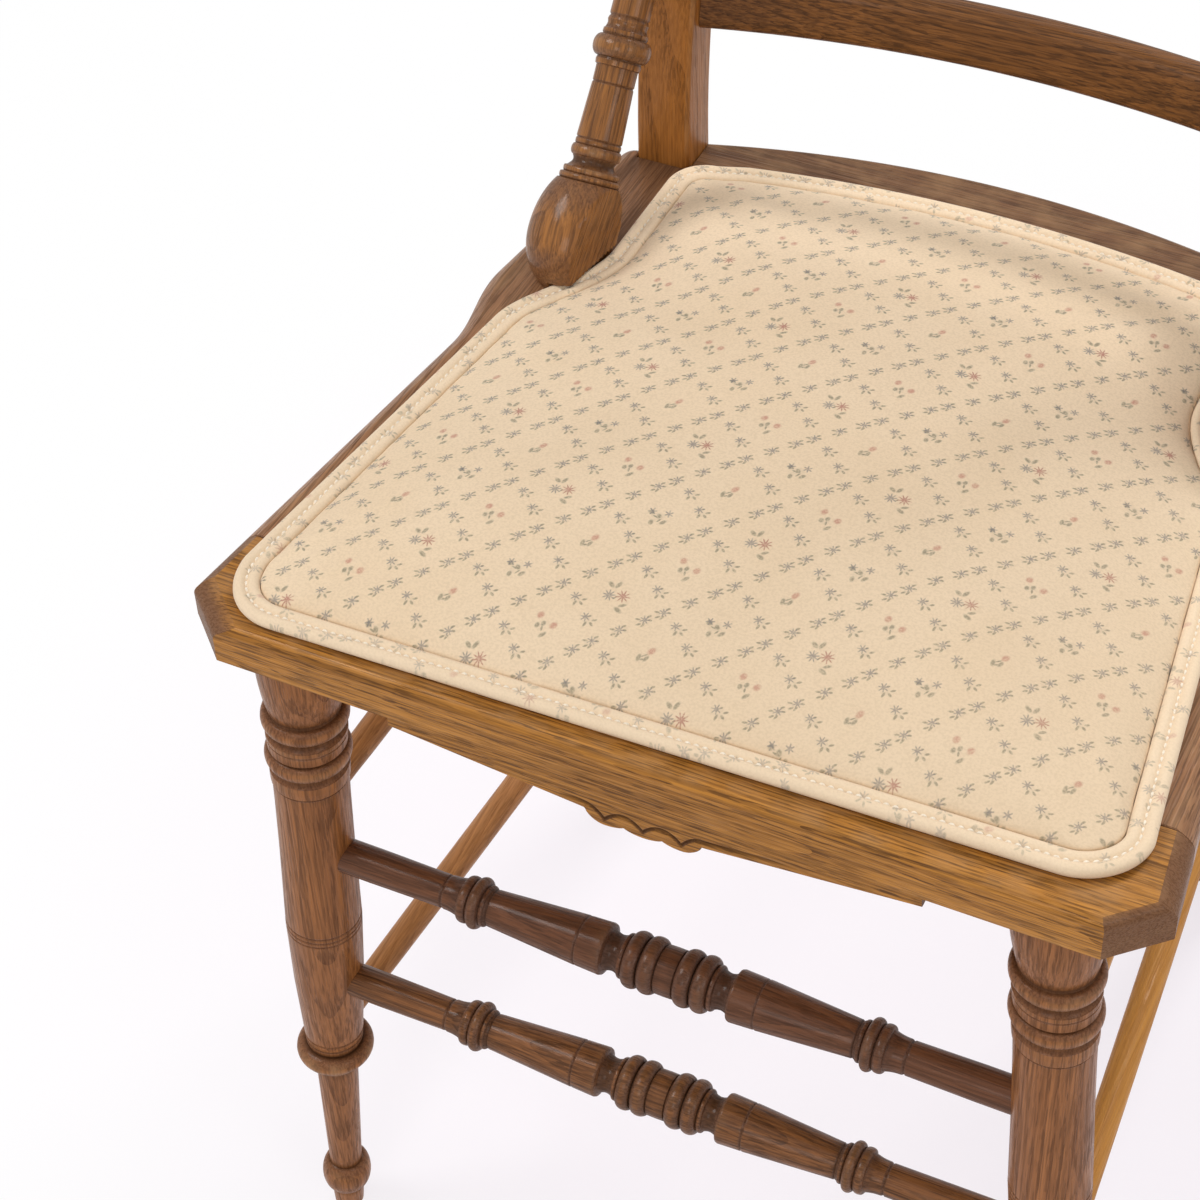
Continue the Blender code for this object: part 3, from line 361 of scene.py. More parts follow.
@dataclass(frozen=True)
class Plan:
    """Sizes that the whole chair shares; each curve is a function of place."""

    shift: float
    gap: float = 0.0003
    seat_top: float = 0.455
    rail_thick: float = 0.022
    nose: float = 0.008
    nose_drop: float = 0.0095
    front_nose: float = 0.0045
    front_ease: float = 0.0030
    front_half: float = 0.1955
    clip: tuple[float, float] = (0.0223, 0.0245)
    edge_taper: float = 0.1236
    ear: tuple[float, float, float] = (0.205, 0.057, 0.0118)
    post_inner: float = 0.146
    post_width: float = 0.028
    post_front: float = 0.3666
    post_depths: tuple[float, float] = (0.026, 0.021)
    post_top: float = 0.945
    bend_height: float = 0.095
    lean: float = 0.245
    rake: tuple[float, float] = (0.36, 0.050)
    back_bow: float = 0.56
    back_setback: float = 0.007
    back_thick: float = 0.015
    leg_x: tuple[float, float] = (0.1944, 0.1695)
    leg_y: float = 0.0215
    socket: float = 0.013

    @property
    def seat_bottom(self) -> float:
        """Height of the seat frame's underside."""
        return self.seat_top - self.rail_thick

    def seat_edge(self, y: np.ndarray | float) -> np.ndarray:
        """Half-width of the seat at y: a straight taper plus the ear's eased swell."""
        taper = self.front_half + self.clip[0] - self.edge_taper * (y + self.nose - self.clip[1])
        return taper + self.ear[2] * smooth_step((y - self.ear[0]) / self.ear[1])

    def post_face(self, z: np.ndarray | float) -> np.ndarray:
        """y of the posts' front face: raked low down, upright at the seat, then bent back and straight.

        Args:
            z: heights.

        Returns:
            The face's y at each height.
        """
        start, reach = self.rake
        below = reach * (np.maximum(start - z, 0.0) / start) ** 1.6
        rise = np.maximum(z - self.seat_top, 0.0)
        bent = np.minimum(rise, self.bend_height)
        return self.post_front + below + self.lean * (bent * bent / (2.0 * self.bend_height) + rise - bent)

    def post_depth(self, z: np.ndarray | float) -> np.ndarray:
        """Depth of the posts, tapering above the seat."""
        share = np.maximum(z - self.seat_top, 0.0) / (self.post_top - self.seat_top)
        return self.post_depths[0] + (self.post_depths[1] - self.post_depths[0]) * share

    def post_middle(self, side: int, z: float) -> np.ndarray:
        """Point on a post's centre line, in the frame."""
        y = self.post_face(z) + self.post_depth(z) / 2 + self.shift
        return np.array((side * (self.post_inner + self.post_width / 2), float(y), z))

    def back_face(self, x: np.ndarray | float, z: np.ndarray | float) -> np.ndarray:
        """y of the bowed back rails' front face: a shallow parabola behind the posts' face."""
        return self.post_face(z) + self.back_setback + (self.post_inner**2 - x * x) / (2.0 * self.back_bow)

    def leg_axis(self, side: int, z: float) -> np.ndarray:
        """Point on a front leg's axis, in the frame."""
        x = self.leg_x[0] + (self.leg_x[1] - self.leg_x[0]) * z / self.seat_top
        return np.array((side * x, self.leg_y + self.shift, z))

    def framed(self, outline: np.ndarray) -> np.ndarray:
        """Carry a plan outline to the frame."""
        return outline + (0.0, self.shift)


# Finishes


class Graph:
    """Short hand for building a node tree."""

    def __init__(self, tree: bpy.types.NodeTree) -> None:
        """Keep the tree."""
        self.tree = tree

    def add(self, kind: str, **settings: object) -> bpy.types.Node:
        """A new node with its settings.

        Args:
            kind: the node's type.
            settings: attributes to set on it.

        Returns:
            The node.
        """
        node = self.tree.nodes.new(kind)
        for key, value in settings.items():
            setattr(node, key, value)
        return node

    def feed(self, socket: bpy.types.NodeSocket, value: object) -> None:
        """Link a socket, or set it to a constant.

        Args:
            socket: the input to feed.
            value: another socket, a constant, or None to leave the input as it is.
        """
        if isinstance(value, bpy.types.NodeSocket):
            self.tree.links.new(value, socket)
        elif value is not None:
            socket.default_value = value

    def math(self, operation: str, *values: object, clamp: bool = False) -> bpy.types.NodeSocket:
        """A Math node's result.

        Args:
            operation: the node's operation.
            values: sockets or constants for its inputs.
            clamp: whether to keep the result between 0 and 1.

        Returns:
            The result's socket.
        """
        node = self.add("ShaderNodeMath", operation=operation, use_clamp=clamp)
        for socket, value in zip(node.inputs, values):
            self.feed(socket, value)
        return node.outputs[0]

    def vector(self, operation: str, *values: object, scale: object = None) -> bpy.types.Node:
        """A Vector Math node.

        Args:
            operation: the node's operation.
            values: sockets or constants for its inputs.
            scale: the factor of a scaling.

        Returns:
            The node.
        """
        node = self.add("ShaderNodeVectorMath", operation=operation)
        for socket, value in zip(node.inputs, values):
            self.feed(socket, value)
        if scale is not None:
            self.feed(node.inputs["Scale"], scale)
        return node

    def mix(self, factor: object, first: object, second: object) -> bpy.types.NodeSocket:
        """A colour mixed by a factor.

        Args:
            factor: share of the second colour.
            first: socket or colour.
            second: socket or colour.

        Returns:
            The mixed colour's socket.
        """
        node = self.add("ShaderNodeMix", data_type="RGBA")
        self.feed(node.inputs[0], factor)
        for socket, value in ((node.inputs[6], first), (node.inputs[7], second)):
            self.feed(socket, (*value, 1.0) if isinstance(value, tuple) and len(value) == 3 else value)
        return node.outputs[2]

    def noise(self, where: object, stretch: Triple, detail: float = 2.0) -> bpy.types.NodeSocket:
        """Noise over a stretched space.

        Args:
            where: the place to read.
            stretch: features per metre along each axis.
            detail: octaves.

        Returns:
            The noise's socket, about 0.5 on average.
        """
        node = self.add("ShaderNodeTexNoise")
        self.feed(node.inputs["Vector"], self.vector("MULTIPLY", where, stretch).outputs[0])
        self.feed(node.inputs["Scale"], 1.0)
        self.feed(node.inputs["Detail"], detail)
        return node.outputs["Fac"]

    def ramp(self, value: object, low: float, high: float) -> bpy.types.NodeSocket:
        """Ease from 0 to 1 between two values.

        Args:
            value: the socket to read.
            low: value that gives 0.
            high: value that gives 1.

        Returns:
            The eased socket.
        """
        node = self.add("ShaderNodeMapRange", interpolation_type="SMOOTHSTEP")
        for name, given in (("Value", value), ("From Min", low), ("From Max", high)):
            self.feed(node.inputs[name], given)
        return node.outputs["Result"]


def node_group(
    name: str, takes: dict[str, str], gives: dict[str, str]
) -> tuple[Graph, bpy.types.Node, bpy.types.Node]:
    """An empty shader node group with named sockets.

    Args:
        name: the group's name.
        takes: input names and socket kinds.
        gives: output names and socket kinds.

    Returns:
        The graph, its input node and its output node.
    """
    tree = bpy.data.node_groups.new(name, "ShaderNodeTree")
    for sockets, way in ((takes, "INPUT"), (gives, "OUTPUT")):
        for label, kind in sockets.items():
            tree.interface.new_socket(label, in_out=way, socket_type=f"NodeSocket{kind}")
    graph = Graph(tree)
    return graph, graph.add("NodeGroupInput"), graph.add("NodeGroupOutput")


def oak_group() -> bpy.types.NodeTree:
    """Varnished oak: growth rings about a pith line, fibres, open pores, dark end grain, painted shade in
    hollows and wear.

    Returns:
        The group: takes a place along the grain, gives colour, roughness and a height for the pores.
    """
    graph, given, out = node_group(
        "varnished_oak",
        {
            "Vector": "Vector", "Facing": "Vector", "Relief": "Float", "Light": "Color", "Dark": "Color",
            "Worn": "Color", "Rings": "Float", "Pores": "Float", "Streaks": "Float", "Ends": "Float",
        },
        {"Color": "Color", "Roughness": "Float", "Height": "Float"},
    )
    where = given.outputs["Vector"]
    relief = given.outputs["Relief"]
    streaks = given.outputs["Streaks"]
    warp = graph.noise(where, (4.0, 24.0, 24.0), 2.0)
    flat = graph.vector("MULTIPLY", where, (0.03, 1.0, 1.0)).outputs[0]
    distance = graph.vector("LENGTH", flat).outputs["Value"]
    bent = graph.math("MULTIPLY_ADD", warp, 0.020, distance)
    ring = graph.math("FRACT", graph.math("MULTIPLY", bent, given.outputs["Rings"]))
    early = graph.math("POWER", graph.math("SUBTRACT", 1.0, ring), 2.0)
    fibre = graph.ramp(graph.noise(where, (14.0, 760.0, 760.0), 2.0), 0.30, 0.70)
    streak = graph.ramp(graph.noise(where, (4.0, 150.0, 150.0), 2.0), 0.32, 0.68)
    broad = graph.ramp(graph.noise(where, (3.0, 16.0, 16.0), 2.0), 0.30, 0.70)
    fine = graph.ramp(graph.noise(where, (70.0, 1350.0, 1350.0), 1.0), 0.49, 0.56)
    long = graph.ramp(graph.noise(where, (9.0, 820.0, 820.0), 1.0), 0.51, 0.58)
    pores = graph.math("MULTIPLY", fine, graph.math("MULTIPLY_ADD", early, 0.70, 0.30))
    pores = graph.math("MULTIPLY_ADD", graph.math("MULTIPLY", long, streaks), 0.55, pores, clamp=True)
    tone = graph.math("MULTIPLY_ADD", early, 0.34, -0.08)
    tone = graph.math("MULTIPLY_ADD", fibre, 0.34, tone)
    tone = graph.math("MULTIPLY_ADD", graph.math("MULTIPLY", streak, streaks), 0.22, tone)
    tone = graph.math("MULTIPLY_ADD", broad, 0.20, tone, clamp=True)
    wood = graph.mix(tone, given.outputs["Light"], given.outputs["Dark"])
    # near-black for the pores, also used below for the painted shade in hollows
    ink = graph.mix(0.7, given.outputs["Dark"], (0.020, 0.008, 0.003))
    wood = graph.mix(graph.math("MULTIPLY", pores, given.outputs["Pores"]), wood, ink)
    axis = graph.vector("DOT_PRODUCT", given.outputs["Facing"], (1.0, 0.0, 0.0)).outputs["Value"]
    ends = graph.ramp(graph.math("ABSOLUTE", axis), 0.12, 0.40)
    ends = graph.math("MULTIPLY", ends, given.outputs["Ends"])
    raw = graph.mix(0.6, given.outputs["Dark"], (0.150, 0.080, 0.056))
    raw = graph.mix(graph.math("MULTIPLY", fine, 0.35), raw, ink)
    wood = graph.mix(ends, wood, raw)
    # Painted shade: negative relief in grooves and hollows pulls the colour towards the near-black; along the
    # boards' eased joints it makes dark joints.
    hollow = graph.math("MULTIPLY", relief, -1.1, clamp=True)
    wood = graph.mix(hollow, wood, ink)
    patchy = graph.ramp(graph.noise(where, (60.0, 90.0, 90.0), 3.0), 0.35, 0.72)
    worn = graph.math("MULTIPLY", graph.math("MULTIPLY", relief, 0.45, clamp=True), patchy)
    wood = graph.mix(worn, wood, given.outputs["Worn"])
    graph.feed(out.inputs["Color"], wood)
    rough = graph.math("MULTIPLY_ADD", fibre, 0.14, 0.26)
    rough = graph.math("MULTIPLY_ADD", pores, 0.2, rough)
    rough = graph.math("MULTIPLY_ADD", ends, 0.2, rough)
    graph.feed(out.inputs["Roughness"], graph.math("MULTIPLY_ADD", hollow, 0.3, rough, clamp=True))
    height = graph.math("MULTIPLY_ADD", pores, -0.8, graph.math("MULTIPLY", fibre, 0.35))
    graph.feed(out.inputs["Height"], graph.math("MULTIPLY_ADD", early, -0.2, height))
    return graph.tree


@dataclass(frozen=True)
class Oak:
    """One oak finish: its colours and the spacing of its growth rings."""

    light: Colour
    dark: Colour
    worn: Colour = (0.46, 0.27, 0.13)
    rings: float = 290.0
    pores: float = 0.75
    gloss: float = 0.12
    streaks: float = 1.0
    ends: float = 0.55

    def dress(
        self, piece: bpy.types.Object, along: Along, pith: Triple, tilt: Triple | None = None
    ) -> None:
        """Give a piece its own cut of this oak.

        Args:
            piece: the object to dress.
            along: the grain's direction.
            pith: where the tree's centre lies from the origin, along and across the grain.
            tilt: turn of the grain instead of the named direction.
        """
        made = bpy.data.materials.new(f"oak_{piece.name}")
        made.use_nodes = True
        graph = Graph(made.node_tree)
        shader = made.node_tree.nodes["Principled BSDF"]
        place = graph.add("ShaderNodeTexCoord")
        group = graph.add("ShaderNodeGroup", node_tree=bpy.data.node_groups["varnished_oak"])
        for source, kind, target in (("Object", "POINT", "Vector"), ("Normal", "NORMAL", "Facing")):
            mapping = graph.add("ShaderNodeMapping", vector_type=kind)
            graph.feed(mapping.inputs["Vector"], place.outputs[source])
            graph.feed(mapping.inputs["Rotation"], tilt or along.value)
            if kind == "POINT":
                graph.feed(mapping.inputs["Location"], pith)
            graph.feed(group.inputs[target], mapping.outputs[0])
        relief = graph.add("ShaderNodeAttribute", attribute_name="relief")
        graph.feed(group.inputs["Relief"], relief.outputs["Fac"])
        for label, value in (("Light", self.light), ("Dark", self.dark), ("Worn", self.worn)):
            graph.feed(group.inputs[label], (*value, 1.0))
        for label in ("Rings", "Pores", "Streaks", "Ends"):
            graph.feed(group.inputs[label], getattr(self, label.lower()))
        bump = graph.add("ShaderNodeBump")
        bump.inputs["Strength"].default_value = 0.4
        bump.inputs["Distance"].default_value = 0.0004
        graph.feed(bump.inputs["Height"], group.outputs["Height"])
        graph.feed(shader.inputs["Base Color"], group.outputs["Color"])
        graph.feed(shader.inputs["Roughness"], group.outputs["Roughness"])
        graph.feed(shader.inputs["Normal"], bump.outputs[0])
        shader.inputs["Specular IOR Level"].default_value = 0.12
        shader.inputs["Coat Weight"].default_value = self.gloss
        shader.inputs["Coat Roughness"].default_value = 0.16
        piece.data.materials.clear()
        piece.data.materials.append(made)


GOLDEN = Oak((0.56, 0.242, 0.043), (0.195, 0.070, 0.009), rings=600.0, pores=0.80, streaks=0.65, ends=0.92)
# Rod finishes: the right rods' finish just below is a lighter copy of the left rods' finish after it, painted
# light on the right side and painted shade on the left.
LIT_HONEY = Oak((0.56, 0.262, 0.062), (0.42, 0.175, 0.036), rings=160.0, pores=0.18, gloss=0.0)
SHADED_TAN = Oak((0.53, 0.240, 0.088), (0.295, 0.122, 0.040), rings=200.0, pores=0.35, gloss=0.08)
BROWN = Oak((0.365, 0.140, 0.043), (0.160, 0.053, 0.013), pores=0.55)
AMBER = Oak((0.42, 0.164, 0.038), (0.210, 0.073, 0.012), rings=120.0, pores=0.5, streaks=0.25, ends=0.2)
TAWNY = Oak((0.37, 0.148, 0.034), (0.145, 0.050, 0.009), pores=0.6, gloss=0.3)
DARK = Oak((0.185, 0.070, 0.030), (0.072, 0.025, 0.010), (0.22, 0.110, 0.055), pores=0.5, gloss=0.2)
CHESTNUT = Oak((0.270, 0.106, 0.036), (0.098, 0.035, 0.010), (0.27, 0.135, 0.060), pores=0.7, gloss=0.2)
UMBER = Oak((0.250, 0.098, 0.025), (0.092, 0.033, 0.007))
GREY = Oak((0.225, 0.107, 0.048), (0.105, 0.044, 0.017), pores=0.6)
FAWN = Oak((0.385, 0.190, 0.092), (0.180, 0.078, 0.034), pores=0.6)


@dataclass(frozen=True)
class Leaf:
    """One printed stroke: an ellipse in millimetres from its motif's centre."""

    x: float
    y: float
    half_length: float
    half_width: float
    angle: float

    def mask(self, graph: Graph, where: bpy.types.NodeSocket) -> bpy.types.NodeSocket:
        """Coverage of the stroke, 1 inside and 0 outside.

        Args:
            graph: the tree to build in.
            where: local place in millimetres.

        Returns:
            The mask.
        """
        mapping = graph.add("ShaderNodeMapping", vector_type="TEXTURE")
        graph.feed(mapping.inputs["Vector"], where)
        graph.feed(mapping.inputs["Location"], (self.x, self.y, 0.0))
        graph.feed(mapping.inputs["Rotation"], (0.0, 0.0, math.radians(self.angle)))
        graph.feed(mapping.inputs["Scale"], (self.half_length, self.half_width, 1.0))
        return graph.ramp(graph.vector("LENGTH", mapping.outputs[0]).outputs["Value"], 1.35, 0.55)


@dataclass(frozen=True)
class Flower:
    """A printed flower: thin petals round a core, in millimetres from its motif's centre."""

    x: float
    y: float
    petals: int
    reach: float
    width: float
    turn: float
    core: float

    def mask(self, graph: Graph, where: bpy.types.NodeSocket) -> bpy.types.NodeSocket:
        """Coverage of the flower: distance from the nearest petal's line, cut off at the reach.

        Args:
            graph: the tree to build in.
            where: local place in millimetres.

        Returns:
            The mask.
        """
        local = graph.vector("SUBTRACT", where, (self.x, self.y, 0.0)).outputs[0]
        away = graph.vector("LENGTH", local).outputs["Value"]
        parts = graph.add("ShaderNodeSeparateXYZ")
        graph.feed(parts.inputs[0], local)
        angle = graph.math("ARCTAN2", parts.outputs["Y"], parts.outputs["X"])
        half = graph.math("MULTIPLY_ADD", angle, self.petals / 2, -math.radians(self.turn) * self.petals / 2)
        aside = graph.math("MULTIPLY", graph.math("ABSOLUTE", graph.math("SINE", half)), away)
        petal = graph.ramp(aside, 0.675 * self.petals * self.width, 0.275 * self.petals * self.width)
        petal = graph.math("MULTIPLY", petal, graph.ramp(away, 1.15 * self.reach, 0.80 * self.reach))
        return graph.math("MAXIMUM", petal, graph.ramp(away, 1.35 * self.core, 0.55 * self.core))


def strokes(
    graph: Graph, where: bpy.types.NodeSocket, shapes: tuple[Leaf | Flower, ...]
) -> bpy.types.NodeSocket:
    """Coverage of several shapes together: the greatest of their masks.

    Args:
        graph: the tree to build in.
        where: local place in millimetres.
        shapes: what is printed there.

    Returns:
        The mask.
    """
    total = shapes[0].mask(graph, where)
    for shape in shapes[1:]:
        total = graph.math("MAXIMUM", total, shape.mask(graph, where))
    return total


class Ink(Enum):
    """Inks in the order that they are printed, each with its colour and its strength."""

    WASH = ((0.40, 0.36, 0.28), 0.16)
    GREEN = ((0.130, 0.140, 0.098), 0.70)
    BLUE = ((0.155, 0.155, 0.170), 0.71)
    PINK = ((0.40, 0.135, 0.110), 0.80)
    BUD = ((0.47, 0.170, 0.130), 0.68)


class Diamond(Enum):
    """Posies of the trellis, by whether the diamond's place along each direction is odd."""

    ROSE = (True, True)
    SINGLE = (True, False)
    DOUBLE = (False, True)
    SPRIG = (False, False)


@dataclass(frozen=True)
class Print:
    """Printed cotton: a diamond trellis of small sprigs with a posy in each diamond, in millimetres."""

    first: tuple[float, float] = (21.83, 22.75)
    second: tuple[float, float] = (23.07, -21.70)
    origin: tuple[float, float] = (64.42, 63.22)
    ground: Colour = (0.83, 0.655, 0.460)
    # lighter ground that painted light pulls a cloth towards
    lit_ground: Colour = (0.93, 0.75, 0.545)
    faded: Colour = (0.72, 0.53, 0.33)
    shade: Colour = (0.56, 0.42, 0.27)
    # colour that the painted shade on the cloth falls towards
    falloff_shade: Colour = (0.46, 0.34, 0.22)

    row_stations: tuple[float, ...] = (-0.06, 0.32, 0.675, 0.94)
    row_leaves: tuple[Leaf, ...] = (
        Leaf(-2.5, -0.1, 1.15, 0.48, 9),
        Leaf(-1.3, -2.3, 1.15, 0.50, 39),
        Leaf(0.5, -2.0, 1.20, 0.50, 68),
        Leaf(1.3, 2.8, 1.05, 0.50, 42),
        Leaf(2.4, 1.2, 0.85, 0.48, 7),
    )
    row_flower: Flower = Flower(0.25, 0.60, 7, 2.10, 0.25, 12, 0.55)
    row_wash: Leaf = Leaf(0.2, 0.4, 3.0, 2.2, 40)
    cross_stations: tuple[float, ...] = (0.30, 0.66)
    cross_leaves: tuple[Leaf, ...] = (
        Leaf(0.5, -1.9, 1.30, 0.58, 81),
        Leaf(3.0, -1.1, 1.10, 0.58, -35),
        Leaf(3.6, 1.1, 1.15, 0.52, 31),
        Leaf(1.0, 2.4, 0.75, 0.42, 30),
    )
    cross_flower: Flower = Flower(-0.60, 1.30, 7, 2.25, 0.26, 80, 0.60)
    cross_wash: Leaf = Leaf(0.3, 0.5, 3.1, 2.3, -30)

    rose_leaves: tuple[Leaf, ...] = (
        Leaf(-4.6, 4.8, 1.7, 0.95, -34),
        Leaf(-1.7, 5.6, 1.9, 0.90, 68),
        Leaf(3.1, -5.9, 1.9, 1.00, -25),
        Leaf(4.0, -3.2, 1.7, 0.70, 32),
        Leaf(-0.6, -0.6, 1.2, 0.40, 60),
    )
    single_leaves: tuple[Leaf, ...] = (
        Leaf(-2.3, -1.7, 1.7, 0.90, 90),
        Leaf(0.8, -1.2, 1.6, 0.80, 69),
        Leaf(-0.5, -0.1, 1.5, 0.32, 40),
        Leaf(-0.8, -2.2, 1.0, 0.45, 30),
    )
    double_leaves: tuple[Leaf, ...] = (
        Leaf(-3.2, -1.0, 1.25, 1.00, 88),
        Leaf(-0.9, 0.5, 1.25, 0.95, 72),
        Leaf(0.8, -4.4, 1.8, 0.85, 51),
        Leaf(-0.7, -1.9, 1.2, 0.45, 104),
    )
    sprig_leaves: tuple[Leaf, ...] = (
        Leaf(-4.1, 1.0, 1.30, 1.20, -16),
        Leaf(-0.2, 0.0, 1.30, 1.00, -51),
        Leaf(-2.2, -4.2, 1.40, 1.00, 93),
        Leaf(2.7, -2.5, 1.65, 0.90, 51),
        Leaf(-1.4, -0.7, 1.40, 0.40, -12),
        Leaf(0.6, -2.2, 1.30, 0.40, 60),
    )

    def posies(self) -> tuple[tuple[Diamond, Ink, tuple[Leaf | Flower, ...]], ...]:
        """What each ink prints in each kind of diamond."""
        return (
            (Diamond.ROSE, Ink.GREEN, self.rose_leaves),
            (Diamond.ROSE, Ink.BLUE, (Flower(-3.4, -0.4, 9, 2.8, 0.27, 20, 0.70),)),
            (Diamond.ROSE, Ink.PINK, (Flower(2.3, 1.0, 9, 3.1, 0.27, 5, 0.60),)),
            (Diamond.ROSE, Ink.WASH, (Leaf(-3.4, -0.4, 2.6, 2.3, 0), Leaf(2.3, 1.0, 2.4, 2.2, 0))),
            (Diamond.SINGLE, Ink.GREEN, self.single_leaves),
            (Diamond.SINGLE, Ink.BUD, (Leaf(1.5, 2.7, 1.95, 1.35, 60),)),
            (Diamond.SINGLE, Ink.WASH, (Leaf(-0.6, -1.2, 2.3, 1.6, 60),)),
            (Diamond.DOUBLE, Ink.GREEN, self.double_leaves),
            (Diamond.DOUBLE, Ink.BUD, (Leaf(-3.7, 3.8, 1.70, 1.45, 70), Leaf(3.4, 0.9, 1.75, 1.45, 60))),
            (Diamond.DOUBLE, Ink.WASH, (Leaf(-1.6, -0.8, 2.3, 1.8, 40),)),
            (Diamond.SPRIG, Ink.GREEN, self.sprig_leaves),
            (
                Diamond.SPRIG,
                Ink.BLUE,
                (Flower(3.2, 2.6, 6, 2.0, 0.30, 40, 0.5), Flower(-4.0, 1.6, 6, 2.0, 0.30, 20, 0.5)),
            ),
            (Diamond.SPRIG, Ink.WASH, (Leaf(-0.6, -0.4, 3.4, 2.2, 30),)),
        )

    def lattice(self, graph: Graph, where: object) -> tuple[bpy.types.NodeSocket, bpy.types.NodeSocket]:
        """Trellis coordinates of a place: how many steps along each of the two directions.

        Args:
            graph: the tree to build in.
            where: place in millimetres.

        Returns:
            Steps along the first and the second direction.
        """
        (ax, ay), (bx, by) = self.first, self.second
        size = ax * by - ay * bx
        rows = ((by / size, -bx / size, 0.0), (-ay / size, ax / size, 0.0))
        dots = [graph.vector("DOT_PRODUCT", where, row).outputs["Value"] for row in rows]
        return dots[0], dots[1]

    def place(self, graph: Graph, along: object, across: object) -> bpy.types.NodeSocket:
        """Millimetres from a motif's centre, from its trellis coordinates.

        Args:
            graph: the tree to build in.
            along: steps along the first direction.
            across: steps along the second.

        Returns:
            The local place.
        """
        one = graph.vector("SCALE", (*self.first, 0.0), scale=along).outputs[0]
        two = graph.vector("SCALE", (*self.second, 0.0), scale=across).outputs[0]
        return graph.vector("ADD", one, two).outputs[0]

    def nearest(self, graph: Graph, share: object, stations: tuple[float, ...]) -> bpy.types.NodeSocket:
        """Signed distance of a place between two crossings from the nearest station there.

        Args:
            graph: the tree to build in.
            share: how far the place is on its way from one crossing to the next.
            stations: rising shares at which motifs stand.

        Returns:
            The distance, as a share.
        """
        apart = graph.math("SUBTRACT", share, stations[0])
        for low, high in zip(stations, stations[1:]):
            past = graph.math("GREATER_THAN", share, (low + high) / 2)
            apart = graph.math("MULTIPLY_ADD", past, low - high, apart)
        return apart

    def group(self) -> bpy.types.NodeTree:
        """Node group of the print.

        Returns:
            The group: takes a place in metres, gives colour and a height for the weave.
        """
        graph, given, out = node_group(
            "sprig_print", {"Vector": "Vector"}, {"Color": "Color", "Height": "Float"}
        )
        metres = given.outputs["Vector"]
        where = graph.vector("SCALE", metres, scale=1000.0).outputs[0]
        where = graph.vector("ADD", where, (*self.origin, 0.0)).outputs[0]
        a, b = self.lattice(graph, where)
        cell_a, cell_b = graph.math("FLOOR", a), graph.math("FLOOR", b)
        in_a = graph.math("SUBTRACT", graph.math("SUBTRACT", a, cell_a), 0.5)
        in_b = graph.math("SUBTRACT", graph.math("SUBTRACT", b, cell_b), 0.5)
        odd_a = graph.math("FLOORED_MODULO", cell_a, 2.0)
        odd_b = graph.math("FLOORED_MODULO", cell_b, 2.0)
        even_a, even_b = graph.math("SUBTRACT", 1.0, odd_a), graph.math("SUBTRACT", 1.0, odd_b)
        near_a = graph.math("SUBTRACT", a, graph.math("ROUND", a))
        near_b = graph.math("SUBTRACT", b, graph.math("ROUND", b))
        row = self.place(graph, self.nearest(graph, graph.math("FRACT", a), self.row_stations), near_b)
        cross = self.place(graph, near_a, self.nearest(graph, graph.math("FRACT", b), self.cross_stations))
        motif = self.place(graph, in_a, in_b)

        leaves = strokes(graph, row, self.row_leaves), strokes(graph, cross, self.cross_leaves)
        flowers = self.row_flower.mask(graph, row), self.cross_flower.mask(graph, cross)
        washes = self.row_wash.mask(graph, row), self.cross_wash.mask(graph, cross)
        inks: dict[Ink, bpy.types.NodeSocket] = {
            Ink.GREEN: graph.math("MAXIMUM", *leaves),
            Ink.BLUE: graph.math("MAXIMUM", *flowers),
            Ink.WASH: graph.math("MAXIMUM", *washes),
        }
        when: dict[Diamond, bpy.types.NodeSocket] = {}
        for kind in Diamond:
            odd_first, odd_second = kind.value
            pair = odd_a if odd_first else even_a, odd_b if odd_second else even_b
            when[kind] = graph.math("MULTIPLY", *pair)
        for kind, ink, shapes in self.posies():
            mask = graph.math("MULTIPLY", when[kind], strokes(graph, motif, shapes))
            inks[ink] = graph.math("MAXIMUM", inks[ink], mask) if ink in inks else mask
        fade = graph.ramp(graph.noise(metres, (1100.0, 1100.0, 1100.0), 2.0), 0.30, 0.62)
        cloud = graph.ramp(graph.noise(metres, (16.0, 16.0, 16.0), 3.0), 0.35, 0.72)
        weave = graph.noise(metres, (850.0, 1000.0, 900.0), 2.0)
        cloth = graph.mix(graph.math("MULTIPLY", cloud, 0.22), self.ground, self.faded)
        threads = graph.ramp(weave, 0.38, 0.68)
        cloth = graph.mix(graph.math("MULTIPLY", threads, 0.26), cloth, self.shade)
        for ink in Ink:
            colour, strength = ink.value
            cover = graph.math("MULTIPLY", inks[ink], graph.math("MULTIPLY_ADD", fade, 0.5, 0.5))
            cloth = graph.mix(graph.math("MULTIPLY", cover, strength), cloth, colour)
        # Painted shade: the cloth darkens towards the front right, standing in for light that falls off
        # across the seat.
        lean = graph.vector("DOT_PRODUCT", metres, (0.55, -0.83, 0.0)).outputs["Value"]
        painted_falloff = graph.math("MULTIPLY", graph.ramp(lean, -0.02, 0.30), 0.50)
        graph.feed(out.inputs["Color"], graph.mix(painted_falloff, cloth, graph.mix(0.5, cloth, self.falloff_shade)))
        warp = graph.noise(metres, (420.0, 2600.0, 900.0), 1.0)
        weft = graph.noise(metres, (2600.0, 420.0, 900.0), 1.0)
        graph.feed(out.inputs["Height"], graph.math("ADD", warp, weft))
        return graph.tree

